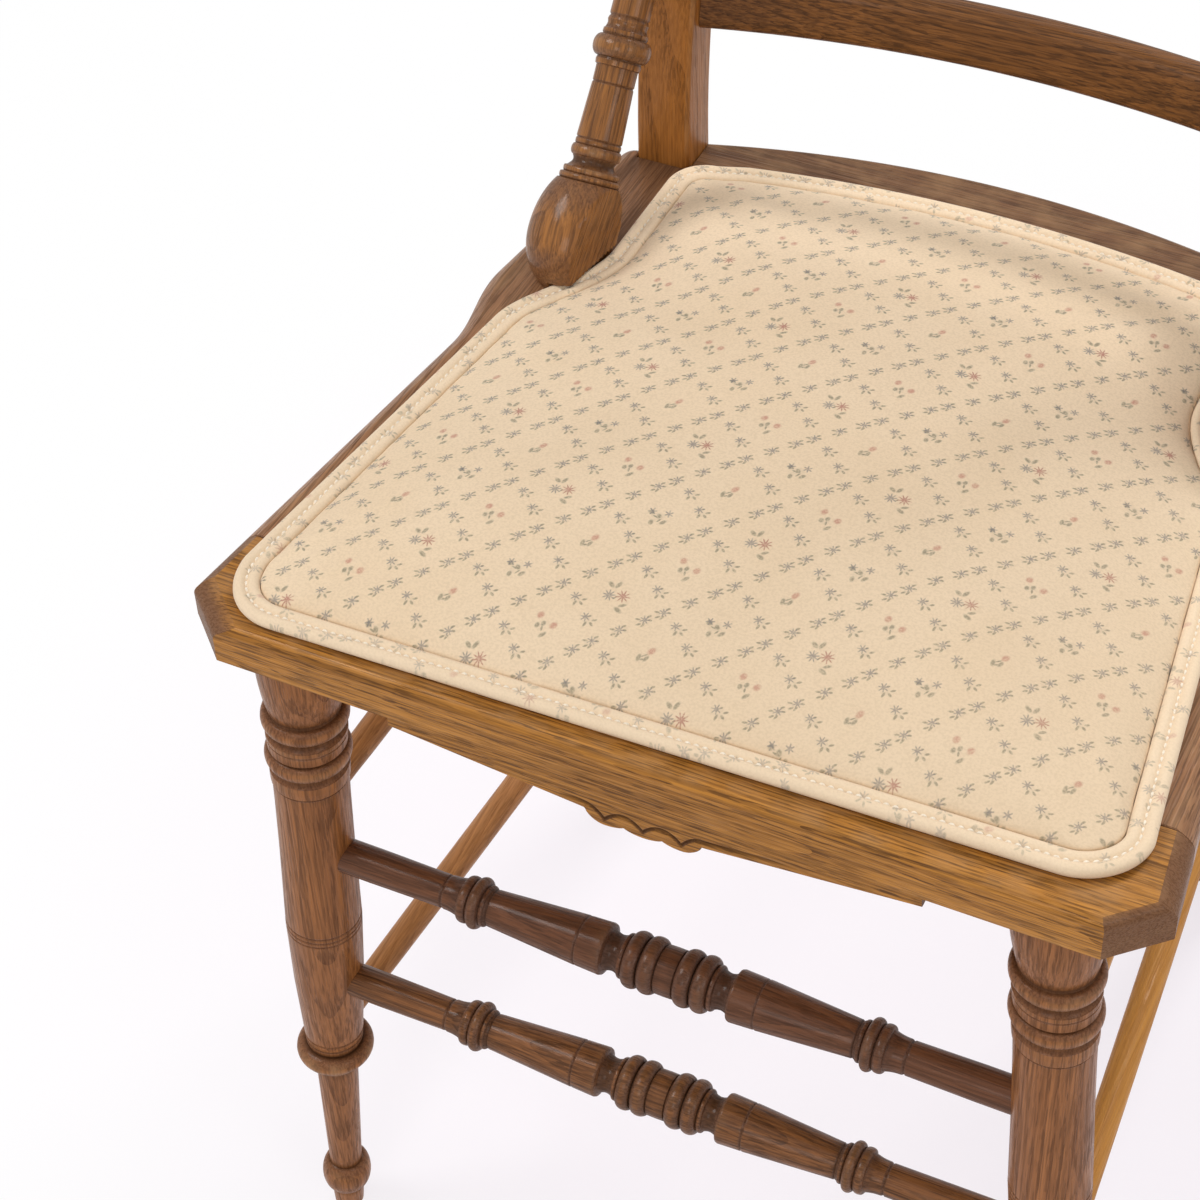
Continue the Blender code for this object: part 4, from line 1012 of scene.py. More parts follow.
    def material(self, name: str, turn: float = 0.0, painted_light: float = 0.0) -> bpy.types.Material:
        """A cloth finish that reads the print.

        Args:
            name: the finish's name.
            turn: turn of the print in radians.
            painted_light: share of the lighter ground mixed in, which is painted light on the whole cloth, 0
                to 1.

        Returns:
            The material.
        """
        made = bpy.data.materials.new(name)
        made.use_nodes = True
        graph = Graph(made.node_tree)
        shader = made.node_tree.nodes["Principled BSDF"]
        mapping = graph.add("ShaderNodeMapping")
        graph.feed(mapping.inputs["Vector"], graph.add("ShaderNodeTexCoord").outputs["Object"])
        graph.feed(mapping.inputs["Rotation"], (0.0, 0.0, turn))
        group = graph.add("ShaderNodeGroup", node_tree=bpy.data.node_groups["sprig_print"])
        graph.feed(group.inputs["Vector"], mapping.outputs[0])
        bump = graph.add("ShaderNodeBump")
        bump.inputs["Strength"].default_value = 0.25
        bump.inputs["Distance"].default_value = 0.0003
        graph.feed(bump.inputs["Height"], group.outputs["Height"])
        # Painted light: the colour is pulled towards the lighter ground by the given share.
        graph.feed(shader.inputs["Base Color"], graph.mix(painted_light, group.outputs["Color"], self.lit_ground))
        graph.feed(shader.inputs["Normal"], bump.outputs[0])
        shader.inputs["Roughness"].default_value = 0.85
        shader.inputs["Sheen Weight"].default_value = 0.15
        shader.inputs["Specular IOR Level"].default_value = 0.15
        return made


PRINT = Print()


def mount(piece: bpy.types.Object, slot: str, *nodes: str) -> None:
    """Let a piece stand for its solids and ride with the chair.

    Args:
        piece: the finished object.
        slot: the record's material slot; not used.
        nodes: the solids that it replaces.
    """
    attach(piece, "root")
    if nodes:
        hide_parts(*nodes)
    LOG.info("%s: %d faces", piece.name, len(piece.data.polygons))


# Sub-assemblies


@dataclass(frozen=True)
class SeatFrame:
    """Four flat boards round an open middle."""

    plan: Plan
    front_back: float = 0.0509
    side_end: float = 0.378
    end_round: float = 0.010
    back_front: float = 0.325
    back_rear: float = 0.4148
    back_bow: float = 0.472
    back_nose: float = 0.003
    left_clip: tuple[float, float] = (0.0095, 0.0085)
    right_clip: tuple[float, float] = (0.0035, 0.0045)

    def front_outline(self) -> tuple[np.ndarray, np.ndarray, np.ndarray]:
        """Plan of the front rail; its left corner is the more worn.

        Returns:
            The outline, and the reach and the drop of each edge's nose.
        """
        plan = self.plan
        clip = plan.front_half + plan.clip[0]
        right = np.array(
            (
                (plan.front_half, -plan.front_nose),
                (clip, plan.clip[1] - plan.nose),
                (float(plan.seat_edge(self.front_back)), self.front_back),
            )
        )
        outline = np.vstack((right[::-1] * (-1.0, 1.0), right))
        side = (plan.nose, plan.nose_drop)
        front = (plan.front_ease, plan.front_ease + 0.001)
        noses = np.array((side, self.left_clip, front, self.right_clip, side, (0.0, 0.001)))
        return outline, noses[:, 0], noses[:, 1]

    def side_outline(self, side: int) -> tuple[np.ndarray, np.ndarray]:
        """Plan of a side rail: the eared edge, a rounded end and the notch for the post.

        Args:
            side: -1 on the left and 1 on the right.

        Returns:
            The outline, and the reach of each edge's nose.
        """
        plan = self.plan
        front = self.front_back + plan.gap
        outer = plan.post_inner + plan.post_width + plan.gap
        notch = plan.post_front - plan.gap
        turn_y = self.side_end - self.end_round
        y = np.concatenate(([front], np.linspace(0.16, 0.31, 90)))
        edge = np.column_stack((plan.seat_edge(y), y))
        turn = np.linspace(0.0, math.pi / 2, 13)
        centre = np.array((float(plan.seat_edge(turn_y)) - self.end_round, turn_y))
        corner = centre + self.end_round * np.column_stack((np.cos(turn), np.sin(turn)))
        inner = plan.post_inner
        inside = np.array(((outer, self.side_end), (outer, notch), (inner, notch), (inner, front)))
        outline = np.vstack((edge, corner, inside))
        reach = np.where(np.arange(len(outline)) < len(edge) + len(corner), plan.nose, 0.0)
        if side > 0:
            return outline, reach
        return (outline * (-1.0, 1.0))[::-1], np.roll(reach[::-1], -1)

    def back_outline(self) -> tuple[np.ndarray, np.ndarray]:
        """Plan of the back rail: straight in front, bowed behind.

        Returns:
            The outline, and the reach of each edge's nose.
        """
        half = self.plan.post_inner - self.plan.gap
        x = np.linspace(half, -half, 61)
        rear = np.column_stack((x, self.back_rear - x * x / (2.0 * self.back_bow)))
        outline = np.vstack(((-half, self.back_front), (half, self.back_front), rear))
        index = np.arange(len(outline))
        return outline, np.where((index >= 2) & (index < len(outline) - 1), self.back_nose, 0.0)

    def build(self) -> None:
        """Make and dress the four boards."""
        plan = self.plan
        low, high = plan.seat_bottom, plan.seat_top
        outline, reach, drop = self.front_outline()
        front = board("front_rail", plan.framed(outline), reach, low, high, drop)
        GOLDEN.dress(front, Along.X, (0.4, 0.19, -0.43))
        mount(front, "golden_oak", "seat_front_rail")
        for word, side in SIDES:
            outline, reach = self.side_outline(side)
            drop = np.full(len(reach), plan.nose_drop)
            rail = board(f"{word}_rail", plan.framed(outline), reach, low, high, drop)
            FAWN.dress(rail, Along.Y, (0.2 * side, 0.17 + 0.05 * side, -0.44))
            mount(rail, "brown_oak", f"seat_{word}_rail")
        outline, reach = self.back_outline()
        back = board("back_rail", plan.framed(outline), reach, low, high, np.full(len(reach), self.back_nose))
        GREY.dress(back, Along.X, (0.7, -0.10, -0.40))
        mount(back, "dark_oak", "seat_back_rail")


@dataclass(frozen=True)
class FrontLegs:
    """Two turned legs, leaned sideways by a shear so that both ends stay level."""

    plan: Plan
    around: int = 56
    cup_radius: float = 0.0167
    cup_swell: float = 0.0036

    def cup(self, start: float, top: float) -> np.ndarray:
        """The cup under the rail: the radius swells at once and then holds.

        Args:
            start: height where it begins.
            top: height where it ends.

        Returns:
            Rows of (distance, radius).
        """
        share = np.linspace(0.0, 1.0, 24)
        radius = self.cup_radius + self.cup_swell * (1.0 - (1.0 - share) ** 2.4)
        return np.column_stack((start + (top - start) * share, radius))

    def profile(self) -> np.ndarray:
        """A leg from its foot to the rail: ball, shank, disc, shaft with lines, two rings and a cup."""
        top = self.plan.seat_bottom - self.plan.gap
        return np.vstack(
            (
                points((0.0, 0.0070), (0.0006, 0.0076), (0.0125, 0.0083)),
                bead(0.0278, 0.0110, 0.0083, 0.0127),
                points((0.0400, 0.0084), (0.1240, 0.0105)),
                points((0.1262, 0.0107)),
                bead(0.1300, 0.0027, 0.0112, 0.0130),
                bead(0.1401, 0.0056, 0.0138, 0.0193),
                points((0.1475, 0.0142)),
                groove(0.1500, 0.0143),
                groove(0.1545, 0.0147),
                points((0.2000, 0.0171)),
                groove(0.2400, 0.0182),
                groove(0.2430, 0.0183),
                groove(0.2460, 0.0182),
                points((0.2950, 0.0175), (0.3300, 0.0173), (0.3448, 0.0174)),
                groove(0.3458, 0.0175, 0.0006, 0.0006),
                points((0.3467, 0.0180), (0.3500, 0.0182), (0.3540, 0.0182)),
                cove(0.3544, 0.3584, 0.0178, 0.0174, 0.0006),
                bead(0.3633, 0.0045, 0.0174, 0.0198),
                points((0.3680, 0.0171), (0.3687, 0.0171), (0.3692, 0.0181), (0.3741, 0.0183)),
                groove(0.3748, 0.0184, 0.0004, 0.0005),
                points((0.3755, 0.0185), (0.3778, 0.0185)),
                cove(0.3782, 0.3824, 0.0180, 0.0174, 0.0010),
                bead(0.3873, 0.0044, 0.0174, 0.0199),
                points((0.3920, 0.0167), (0.3930, 0.0164)),
                self.cup(0.3936, top),
            )
        )

    def build(self) -> None:
        """Make and dress both legs."""
        plan = self.plan
        fine = fine_profile(self.profile())
        relief = profile_relief(fine)
        rows = closed_rows(fine)
        relief = np.concatenate((relief[:1], relief, relief[-1:]))[:, None]
        lean = (plan.leg_x[1] - plan.leg_x[0]) / plan.seat_top
        for word, side in SIDES:
            start = plan.leg_axis(side, 0.0)
            grid = revolve(rows, start, start + (0.0, 0.0, 1.0), self.around)
            grid[..., 0] += side * lean * grid[..., 2]
            leg = skin(f"leg_{word}", grid, relief, caps=False)
            BROWN.dress(leg, Along.Z, (0.3, 0.21 + 0.03 * side, 0.22 * side))
            mount(leg, "brown_oak", f"front_leg_{word}")


@dataclass(frozen=True)
class Stretchers:
    """Two turned front stretchers, and plain rods at the sides and rear."""

    plan: Plan
    front: tuple[tuple[str, float, float, Oak], ...] = (
        ("upper", 0.2951, 0.002, DARK), ("lower", 0.2005, -0.0041, CHESTNUT),
    )
    leg_radius: float = 0.0183
    end_radius: float = 0.0083
    rod_end: float = 0.0065
    rod_radius: float = 0.0073
    rods: tuple[tuple[str, float, float], ...] = (("upper", 0.3229, 0.338), ("lower", 0.1533, 0.165))
    rear_height: float = 0.245
    rod_inset: float = 0.002

    def half(self) -> np.ndarray:
        """Half of a front stretcher, from its centre out: bobbin, neck, shoulder, taper and end beads."""
        return np.vstack(
            (
                points((0.0, 0.0115), (0.0042, 0.0114), (0.0047, 0.0108)),
                bead(0.0088, 0.0039, 0.0108, 0.0134),
                points((0.0128, 0.0108)),
                bead(0.0166, 0.0036, 0.0108, 0.0133),
                points((0.0204, 0.0098)),
                bead(0.0217, 0.0012, 0.0098, 0.0107, 9),
                cove(0.0231, 0.0300, 0.0094, 0.0096, 0.0010),
                points((0.0303, 0.0106), (0.0308, 0.0118), (0.0318, 0.0122)),
                groove(0.0434, 0.0117),
                points((0.0878, 0.0088)),
                groove(0.0886, 0.0088),
                points((0.0898, 0.0089)),
                bead(0.0911, 0.0011, 0.0091, 0.0098, 9),
                points((0.0924, 0.0094)),
                bead(0.0953, 0.0027, 0.0096, 0.0123),
                points((0.0981, 0.0100)),
                bead(0.1006, 0.0023, 0.0100, 0.0112, 13),
                points((0.1030, 0.0094)),
                cove(0.1034, 0.1108, 0.0092, 0.0081, 0.0003),
                groove(0.1120, 0.0079),
            )
        )

    def build(self) -> None:
        """Make and dress every stretcher."""
        plan = self.plan
        for word, height, offset, finish in self.front:
            tip = plan.leg_axis(1, height)[0] - self.leg_radius + plan.socket
            mouth = tip - 2.0 * plan.socket
            half = self.half()
            ends = points((mouth, self.end_radius), (tip, self.end_radius))
            flipped = (-1.0, 1.0)
            moved = (offset, 0.0)
            turned = ((half[1:] * flipped)[::-1] + moved, half + moved)
            rows = np.vstack(((ends * flipped)[::-1], *turned, ends))
            centre = np.array((0.0, plan.leg_y + plan.shift, height))
            piece = turned_piece(f"front_rung_{word}", rows, centre, centre + (1.0, 0.0, 0.0), 48)
            finish.dress(piece, Along.X, (0.3 + height, 0.20, -height + 0.05))
            mount(piece, "dark_oak", f"front_stretcher_{word}")
        for word, front_z, rear_z in self.rods:
            for side_word, side in SIDES:
                front, rear = plan.leg_axis(side, front_z), plan.post_middle(side, rear_z)
                along = (rear - front) / np.linalg.norm(rear - front)
                start = front + along * (self.leg_radius - plan.socket - self.rod_inset)
                end = rear - along * (float(plan.post_depth(rear_z)) / 2 - plan.socket)
                self.rod(f"side_rung_{word}_{side_word}", start, end, f"side_stretcher_{word}_{side_word}")
        inner = np.array((plan.post_width / 2 - plan.socket, 0.0, 0.0))
        start = plan.post_middle(-1, self.rear_height) + inner
        end = plan.post_middle(1, self.rear_height) - inner
        self.rod("rear_rung", start, end, "rear_stretcher")

    def rod(self, name: str, start: np.ndarray, end: np.ndarray, node: str) -> None:
        """A plain rod that swells a little towards its middle.

        Args:
            name: the piece's name.
            start: centre of one end.
            end: centre of the other.
            node: the solid that it replaces.
        """
        length = float(np.linalg.norm(end - start))
        collar = 2.0 * self.plan.socket
        run = np.linspace(collar, length - collar, 30)
        swell = np.sin(math.pi * (run - collar) / (length - 2.0 * collar)) ** 0.6
        middle = np.column_stack((run, self.rod_end + (self.rod_radius - self.rod_end) * swell))
        rows = np.vstack((points((0.0, self.rod_end)), middle, points((length, self.rod_end))))
        piece = turned_piece(name, rows, start, end, 32)
        sideways = abs(end[0] - start[0]) > abs(end[1] - start[1])
        # The right rods take a lighter copy of the left rods' finish: painted light on the right, painted
        # shade on the left.
        finish = LIT_HONEY if start[0] > 0.0 else SHADED_TAN
        finish.dress(piece, Along.X if sideways else Along.Y, (start[2], 0.04 - start[0], 0.02 - start[2]))
        mount(piece, "golden_oak", node)


@dataclass(frozen=True)
class Posts:
    """Two bent posts with turned finials."""

    plan: Plan
    ease: float = 0.0022
    finial_height: float = 0.040
    finial_radius: float = 0.0125
    bend_rows_end: float = 0.56

    def section(self) -> tuple[np.ndarray, np.ndarray]:
        """A unit square with rounded corners, as shares of width and depth plus offsets of the rounding.

        Returns:
            Corner signs and unit offsets, each points x 2.
        """
        corners = np.array(((1, -1), (1, 1), (-1, 1), (-1, -1)), dtype=float)
        turn = np.linspace(0.0, math.pi / 2, 7)
        starts = np.array((-math.pi / 2, 0.0, math.pi / 2, math.pi))
        angle = (starts[:, None] + turn[None, :]).ravel()
        return np.repeat(corners, len(turn), axis=0), np.column_stack((np.cos(angle), np.sin(angle)))

    def build(self) -> None:
        """Make and dress the posts and their finials."""
        plan = self.plan
        signs, offsets = self.section()
        low = np.linspace(0.0, plan.rake[0], 60)
        bent = np.linspace(plan.seat_top, self.bend_rows_end, 50)
        z = np.concatenate((low, bent, [plan.post_top]))
        depth = plan.post_depth(z)
        middle = plan.post_face(z) + depth / 2 + plan.shift
        for word, side in SIDES:
            x = side * (plan.post_inner + plan.post_width / 2)
            round_x, round_y = offsets.T * self.ease
            x_ring = x + signs[:, 0] * (plan.post_width / 2 - self.ease) + round_x
            y_ring = middle[:, None] + signs[:, 1] * (depth[:, None] / 2 - self.ease) + round_y
            grid = np.stack(np.broadcast_arrays(x_ring, y_ring, z[:, None]), axis=-1)
            corner = 0.5 * (np.abs(offsets[:, 0] * offsets[:, 1]) > 0.05)
            post = skin(f"post_{word}", grid, corner[None, :], sharp=50.0)
            AMBER.dress(post, Along.Z, (0.25, -0.17, 0.135 * side + 0.02))
            mount(post, "brown_oak", f"rear_post_{word}")
            self.finial(word, side)

    def finial(self, word: str, side: int) -> None:
        """A turned knob: collar, neck and acorn.

        Args:
            word: the side's name.
            side: -1 on the left and 1 on the right.
        """
        tall, wide = self.finial_height, self.finial_radius
        rows = np.vstack(
            (
                points((self.plan.gap, wide * 0.70), (0.08 * tall, wide * 0.74)),
                cove(0.10 * tall, 0.30 * tall, wide * 0.70, wide * 0.62, wide * 0.14),
                bead(0.34 * tall, 0.04 * tall, wide * 0.60, wide * 0.72),
                bead(0.64 * tall, 0.25 * tall, wide * 0.58, wide),
                cove(0.90 * tall, tall, wide * 0.50, wide * 0.16, wide * 0.05),
            )
        )
        seat = self.plan.post_middle(side, self.plan.post_top)
        knob = turned_piece(f"knob_{word}", rows, seat, seat + (0.0, 0.0, 1.0), 32)
        BROWN.dress(knob, Along.Z, (0.1, 0.12, 0.1))
        mount(knob, "brown_oak", f"finial_{word}")


@dataclass(frozen=True)
class Back:
    """Bowed rails between the posts, with spindles and a pressed crest."""

    plan: Plan
    lower: tuple[float, float] = (0.5263, 0.5533)
    middle: tuple[float, float] = (0.640, 0.686)
    crest_base: float = 0.815
    crest_end: float = 0.098
    crest_rise: float = 0.060
    crest_dip: float = 0.010
    spindles: int = 5
    spindle_pitch: float = 0.048
    spindle_end: float = 0.0045
    spindle_radius: float = 0.0085
    sunk: float = 0.0022
    scrolls: tuple[tuple[tuple[float, float], float, float, float], ...] = (
        ((0.060, 0.008), 0.026, 2.6, 1.0),
        ((0.104, -0.012), 0.018, 0.4, -1.0),
    )
    leaf_tips: tuple[tuple[float, float], ...] = (
        (0.020, 0.046),
        (0.034, 0.026),
        (0.036, -0.020),
        (0.016, -0.040),
        (0.0, 0.054),
        (0.0, -0.046),
    )

    def crest_bottom(self, x: np.ndarray | float) -> np.ndarray:
        """Crest's lower edge: level at the posts and eased down in the middle."""
        return self.crest_base - self.crest_dip * smooth_step(1.0 - np.abs(x) / (0.8 * self.plan.post_inner))

    def crest_top(self, x: np.ndarray | float) -> np.ndarray:
        """Crest's upper edge: shoulders at the posts and a rounded rise in the middle."""
        share = np.abs(x) / self.plan.post_inner
        return self.crest_base + self.crest_end + self.crest_rise * smooth_step((0.95 - share) / 0.75)

    def rail(
        self,
        name: str,
        low: np.ndarray,
        high: np.ndarray,
        x: np.ndarray,
        round_by: float,
        press: bool = False,
    ) -> bpy.types.Object:
        """A bowed rail: a rounded section carried along the bow.

        Args:
            name: the piece's name.
            low: height of the lower edge at each x.
            high: height of the upper edge at each x.
            x: stations along the rail.
            round_by: radius of the section's corners.
            press: whether the front carries the pressed ornament.

        Returns:
            The object.
        """
        plan = self.plan
        turn = np.linspace(0.0, math.pi / 2, 7)
        face = np.linspace(0.0, 1.0, 120 if press else 14)
        tall = (high - low)[:, None]
        corner_in, corner_up = round_by * (1.0 - np.sin(turn)), round_by * (1.0 - np.cos(turn))
        front_z = round_by + (tall - 2.0 * round_by) * face[None, :]
        depth = np.concatenate((corner_up[::-1], np.zeros(len(face)), corner_up))
        ones = np.ones((len(x), 1))
        rise = np.concatenate((ones * corner_in[::-1], front_z, tall - corner_in), axis=1)
        back = plan.back_thick - depth[::-1]
        z = np.concatenate((low[:, None] + rise, low[:, None] + rise[:, ::-1]), axis=1)
        across = np.broadcast_to(np.concatenate((depth, back))[None, :], z.shape).copy()
        relief = np.zeros_like(z)
        if press:
            span = slice(len(turn), len(turn) + len(face))
            carved = self.ornament(*np.broadcast_arrays(x[:, None], face[None, :]), tall)
            across[:, span] += self.sunk - carved
            # The sunk ground gets negative relief, darkened as painted shade in the oak finish; the raised
            # ornament gets positive relief, shown as wear.
            relief[:, span] = np.clip((carved - 0.0012) / self.sunk, -0.5, 0.6)
        y = plan.back_face(x[:, None], z) + across + plan.shift
        grid = np.stack((np.broadcast_to(x[:, None], z.shape), y, z), axis=-1)
        return skin(name, grid, relief, sharp=50.0)

    def ornament(self, x: np.ndarray, share: np.ndarray, tall: np.ndarray) -> np.ndarray:
        """Height of the pressed scrolls: rounded ridges along spirals, a fan and a rope border.

        Args:
            x: place across the crest.
            share: place up its face, from 0 to 1.
            tall: height of the face at each x.

        Returns:
            Height over the sunk ground.
        """
        z = (share - 0.5) * tall
        mirrored = np.abs(x)
        height = np.zeros_like(x)

        def ridge(path: np.ndarray, width: np.ndarray, peak: float) -> np.ndarray:
            """Height of a rounded ridge along a path.

            Args:
                path: points x 2 down its middle.
                width: half-width at each point.
                peak: height of its middle.

            Returns:
                The height at each place of the face.
            """
            gap = np.hypot(mirrored[..., None] - path[:, 0], z[..., None] - path[:, 1]) / width
            return peak * np.clip(1.0 - gap.min(axis=-1) ** 2, 0.0, 1.0) ** 0.5

        turn = np.linspace(0.0, 1.0, 90)
        for centre, spread, start, way in self.scrolls:
            angle = start + way * turn * 3.3 * math.pi
            radius = spread * (1.0 - 0.86 * turn)
            path = np.column_stack((centre[0] + radius * np.cos(angle), centre[1] + radius * np.sin(angle)))
            height = np.maximum(height, ridge(path, 0.0042 - 0.0014 * turn, 0.0026))
        leaf = np.linspace(0.0, 1.0, 60)
        for tip in self.leaf_tips:
            bow = 0.25 * np.sin(math.pi * leaf)
            path = np.column_stack((tip[0] * leaf + tip[1] * bow * 0.3, tip[1] * leaf))
            height = np.maximum(height, ridge(path, 0.0012 + 0.0048 * np.sin(math.pi * leaf) ** 0.8, 0.0026))
        height = np.maximum(height, 0.0030 * np.clip(1.0 - (np.hypot(x, z) / 0.0085) ** 2, 0.0, 1.0) ** 0.5)
        edge = np.minimum(share, 1.0 - share) * tall
        side = self.plan.post_inner - 0.006 - mirrored
        rim = np.minimum(edge, side)
        border = np.clip(1.0 - ((rim - 0.0075) / 0.0026) ** 2, 0.0, 1.0) ** 0.5
        beads = 0.75 + 0.25 * np.cos(2.0 * math.pi * (mirrored + z) / 0.0055)
        height = np.maximum(height, self.sunk * border * beads)
        return np.maximum(height, self.sunk * smooth_step((0.0045 - rim) / 0.001))

    def build(self) -> None:
        """Make and dress the rails, the crest and the spindles."""
        plan = self.plan
        half = plan.post_inner - plan.gap
        x = np.linspace(-half, half, 81)
        for name, (low, high), node, cut in (
            ("low_rail", self.lower, "lower_back_rail", -0.52),
            ("mid_rail", self.middle, "middle_back_rail", -0.60),
        ):
            piece = self.rail(name, np.full_like(x, low), np.full_like(x, high), x, 0.0055)
            UMBER.dress(piece, Along.X, (0.3, -0.10, cut))
            mount(piece, "brown_oak", node)
        x = np.linspace(-half, half, 301)
        crest = self.rail("crest", self.crest_bottom(x), self.crest_top(x), x, 0.003, press=True)
        BROWN.dress(crest, Along.X, (0.5, -0.14, -0.84))
        mount(crest, "brown_oak", "crest_rail")
        for number in range(self.spindles):
            self.spindle(number)

    def spindle(self, number: int) -> None:
        """A short turned spindle from the middle rail to the crest.

        Args:
            number: its place in the row.
        """
        plan = self.plan
        at = self.spindle_pitch * (number - (self.spindles - 1) / 2)
        low_z, high_z = self.middle[1], float(self.crest_bottom(at))
        inside = plan.back_thick / 2 + plan.shift
        low, high = (np.array((at, float(plan.back_face(at, z)) + inside, z)) for z in (low_z, high_z))
        span = float(np.linalg.norm(high - low))
        end, body = self.spindle_end, self.spindle_radius
        half = np.vstack(
            (
                points((0.0, end), (0.06 * span, end + 0.0006)),
                bead(0.12 * span, 0.0035, 0.0050, 0.0072),
                cove(0.15 * span, 0.19 * span, 0.0056, 0.0056, 0.0008),
                points((0.34 * span, 0.92 * body), (0.43 * span, 0.95 * body)),
                groove(0.455 * span, 0.0075),
            )
        )
        other = (half * (-1.0, 1.0) + (span, 0.0))[::-1]
        rows = np.vstack((half, bead(0.5 * span, 0.0042, 0.0078, body + 0.001), other))
        piece = turned_piece(f"spindle_{number + 1}", rows, low, high, 28)
        BROWN.dress(piece, Along.Z, (0.1 * number, 0.05, 0.03 * number))
        mount(piece, "brown_oak", f"back_spindle_{number + 1}")


@dataclass(frozen=True)
class Braces:
    """Turned hip braces: an egg on the seat, cut flat beside the pad, and a shank bent back into the post."""

    plan: Plan
    ball: tuple[float, float, float] = (0.162, 0.274, 0.017)
    ball_radius: float = 0.0228
    ball_half: tuple[float, float] = (0.028, 0.0357)
    facet: tuple[float, float] = (0.0120, math.radians(9))
    relief: tuple[float, float] = (0.006, math.radians(23))
    relief_top: float = 0.0068
    slope: float = 0.80
    straight: float = 0.126
    bend: float = 0.050
    turn: float = math.radians(41)
    shank: float = 0.0095
    around: int = 56

    def path(self, run: np.ndarray) -> tuple[np.ndarray, np.ndarray]:
        """The bent axis: straight, then an arc, then straight.

        Args:
            run: distances from the ball's centre.

        Returns:
            Points and directions in the (y, z) plane.
        """
        lean = math.atan(self.slope)
        straight = np.minimum(run, self.straight)
        turn = np.clip((run - self.straight) / self.bend, 0.0, self.turn)
        beyond = np.maximum(run - self.straight - self.bend * self.turn, 0.0)
        way = np.column_stack((np.sin(lean + turn), np.cos(lean + turn)))
        y = self.ball[1] + straight * math.sin(lean) + self.bend * (math.cos(lean) - np.cos(lean + turn))
        z = self.plan.seat_top + self.ball[2] + straight * math.cos(lean)
        z = z + self.bend * (np.sin(lean + turn) - math.sin(lean))
        return np.column_stack((y, z)) + beyond[:, None] * way, way

    def profile(self) -> np.ndarray:
        """A brace from the egg's lower pole to the post.

        Returns:
            Rows of (distance, radius).
        """
        run = np.arange(self.straight, 0.4, 0.0003)
        place, _ = self.path(run)
        meet = float(run[np.argmax(place[:, 0] >= self.plan.post_face(place[:, 1]))])
        turn = np.linspace(math.pi, math.radians(42), 48)
        half = np.where(np.cos(turn) < 0.0, *self.ball_half)
        egg = np.column_stack((half * np.cos(turn), self.ball_radius * np.sin(turn)))
        return np.vstack(
            (
                egg,
                points((0.0268, 0.0143)),
                bead(0.0284, 0.0014, 0.0141, 0.0147, 9),
                points((0.0300, 0.0132)),
                bead(0.0316, 0.0014, 0.0130, 0.0135, 9),
                points((0.0332, 0.0121)),
                cove(0.0335, 0.0382, 0.0117, 0.0106, 0.0012),
                bead(0.0411, 0.0027, 0.0106, 0.0121, 13),
                points((0.0440, 0.0108), (0.0446, 0.0110)),
                groove(0.0468, 0.0110),
                points((0.0690, 0.0102)),
                groove(0.0736, 0.0100),
                points((0.0815, 0.0100), (0.0820, 0.0108), (0.0842, 0.0110), (0.0850, 0.0106)),
                bead(0.0907, 0.0052, 0.0106, 0.0140),
                points((0.0962, 0.0106), (0.0968, 0.0109), (0.0985, 0.0108)),
                cove(0.0990, 0.1030, 0.0102, 0.0099, 0.0005),
                groove(0.1050, 0.0096, 0.0006, 0.0010),
                points((0.1120, self.shank), (meet, self.shank), (meet + 0.010, self.shank - 0.001)),
            )
        )

    def flatten(
        self, side: int, x: np.ndarray, y: np.ndarray, where: np.ndarray, depth: float, turn: float
    ) -> tuple[np.ndarray, np.ndarray]:
        """Press points that stand past an upright plane back on to it, with a soft edge.

        Args:
            side: -1 on the left and 1 on the right.
            x: places across.
            y: places from front to back.
            where: points that may move.
            depth: distance of the plane from the ball's centre, towards the pad.
            turn: turn of the plane towards the front.

        Returns:
            The new x and y.
        """
        normal = (-side * math.cos(turn), -math.sin(turn))
        over = (x - side * self.ball[0]) * normal[0] + (y - self.ball[1]) * normal[1] - depth
        soft = 0.0009
        push = np.where(over < soft, np.clip(over + soft, 0.0, None) ** 2 / (4.0 * soft), over)
        push = np.where(where, push, 0.0)
        return x - push * normal[0], y - push * normal[1]

    def build(self) -> None:
        """Make and dress both braces."""
        fine = fine_profile(self.profile(), 0.0006)
        relief = profile_relief(fine, 0.005, 0.0020)
        fine = np.vstack((fine, fine[-1:] * (1.0, 0.0)))
        relief = np.concatenate((relief, relief[-1:]))
        place, way = self.path(fine[:, 0])
        turn = np.linspace(0.0, 2.0 * math.pi, self.around, endpoint=False)
        out = fine[:, 1:] * np.sin(turn)[None, :]
        floor = self.plan.seat_top + self.plan.gap
        on_ball = np.broadcast_to(fine[:, :1] < 0.0266, out.shape)
        for word, side in SIDES:
            x = side * (self.ball[0] + fine[:, 1:] * np.cos(turn)[None, :])
            y = place[:, :1] + out * way[:, 1:]
            z = place[:, 1:] - out * way[:, :1]
            z = np.where(on_ball, np.maximum(z, floor), z)
            x, y = self.flatten(side, x, y, on_ball, *self.facet)
            x, y = self.flatten(side, x, y, on_ball & (z < floor + self.relief_top), *self.relief)
            grid = np.stack((x, y + self.plan.shift, z), axis=-1)
            brace = skin(f"brace_{word}", grid, relief[:, None], caps=False)
            tilt = (math.atan(self.slope), math.pi / 2, 0.0)
            TAWNY.dress(brace, Along.Z, (0.2, 0.12 * side, 0.18), tilt)
            mount(brace, "brown_oak", f"hip_brace_{word}")


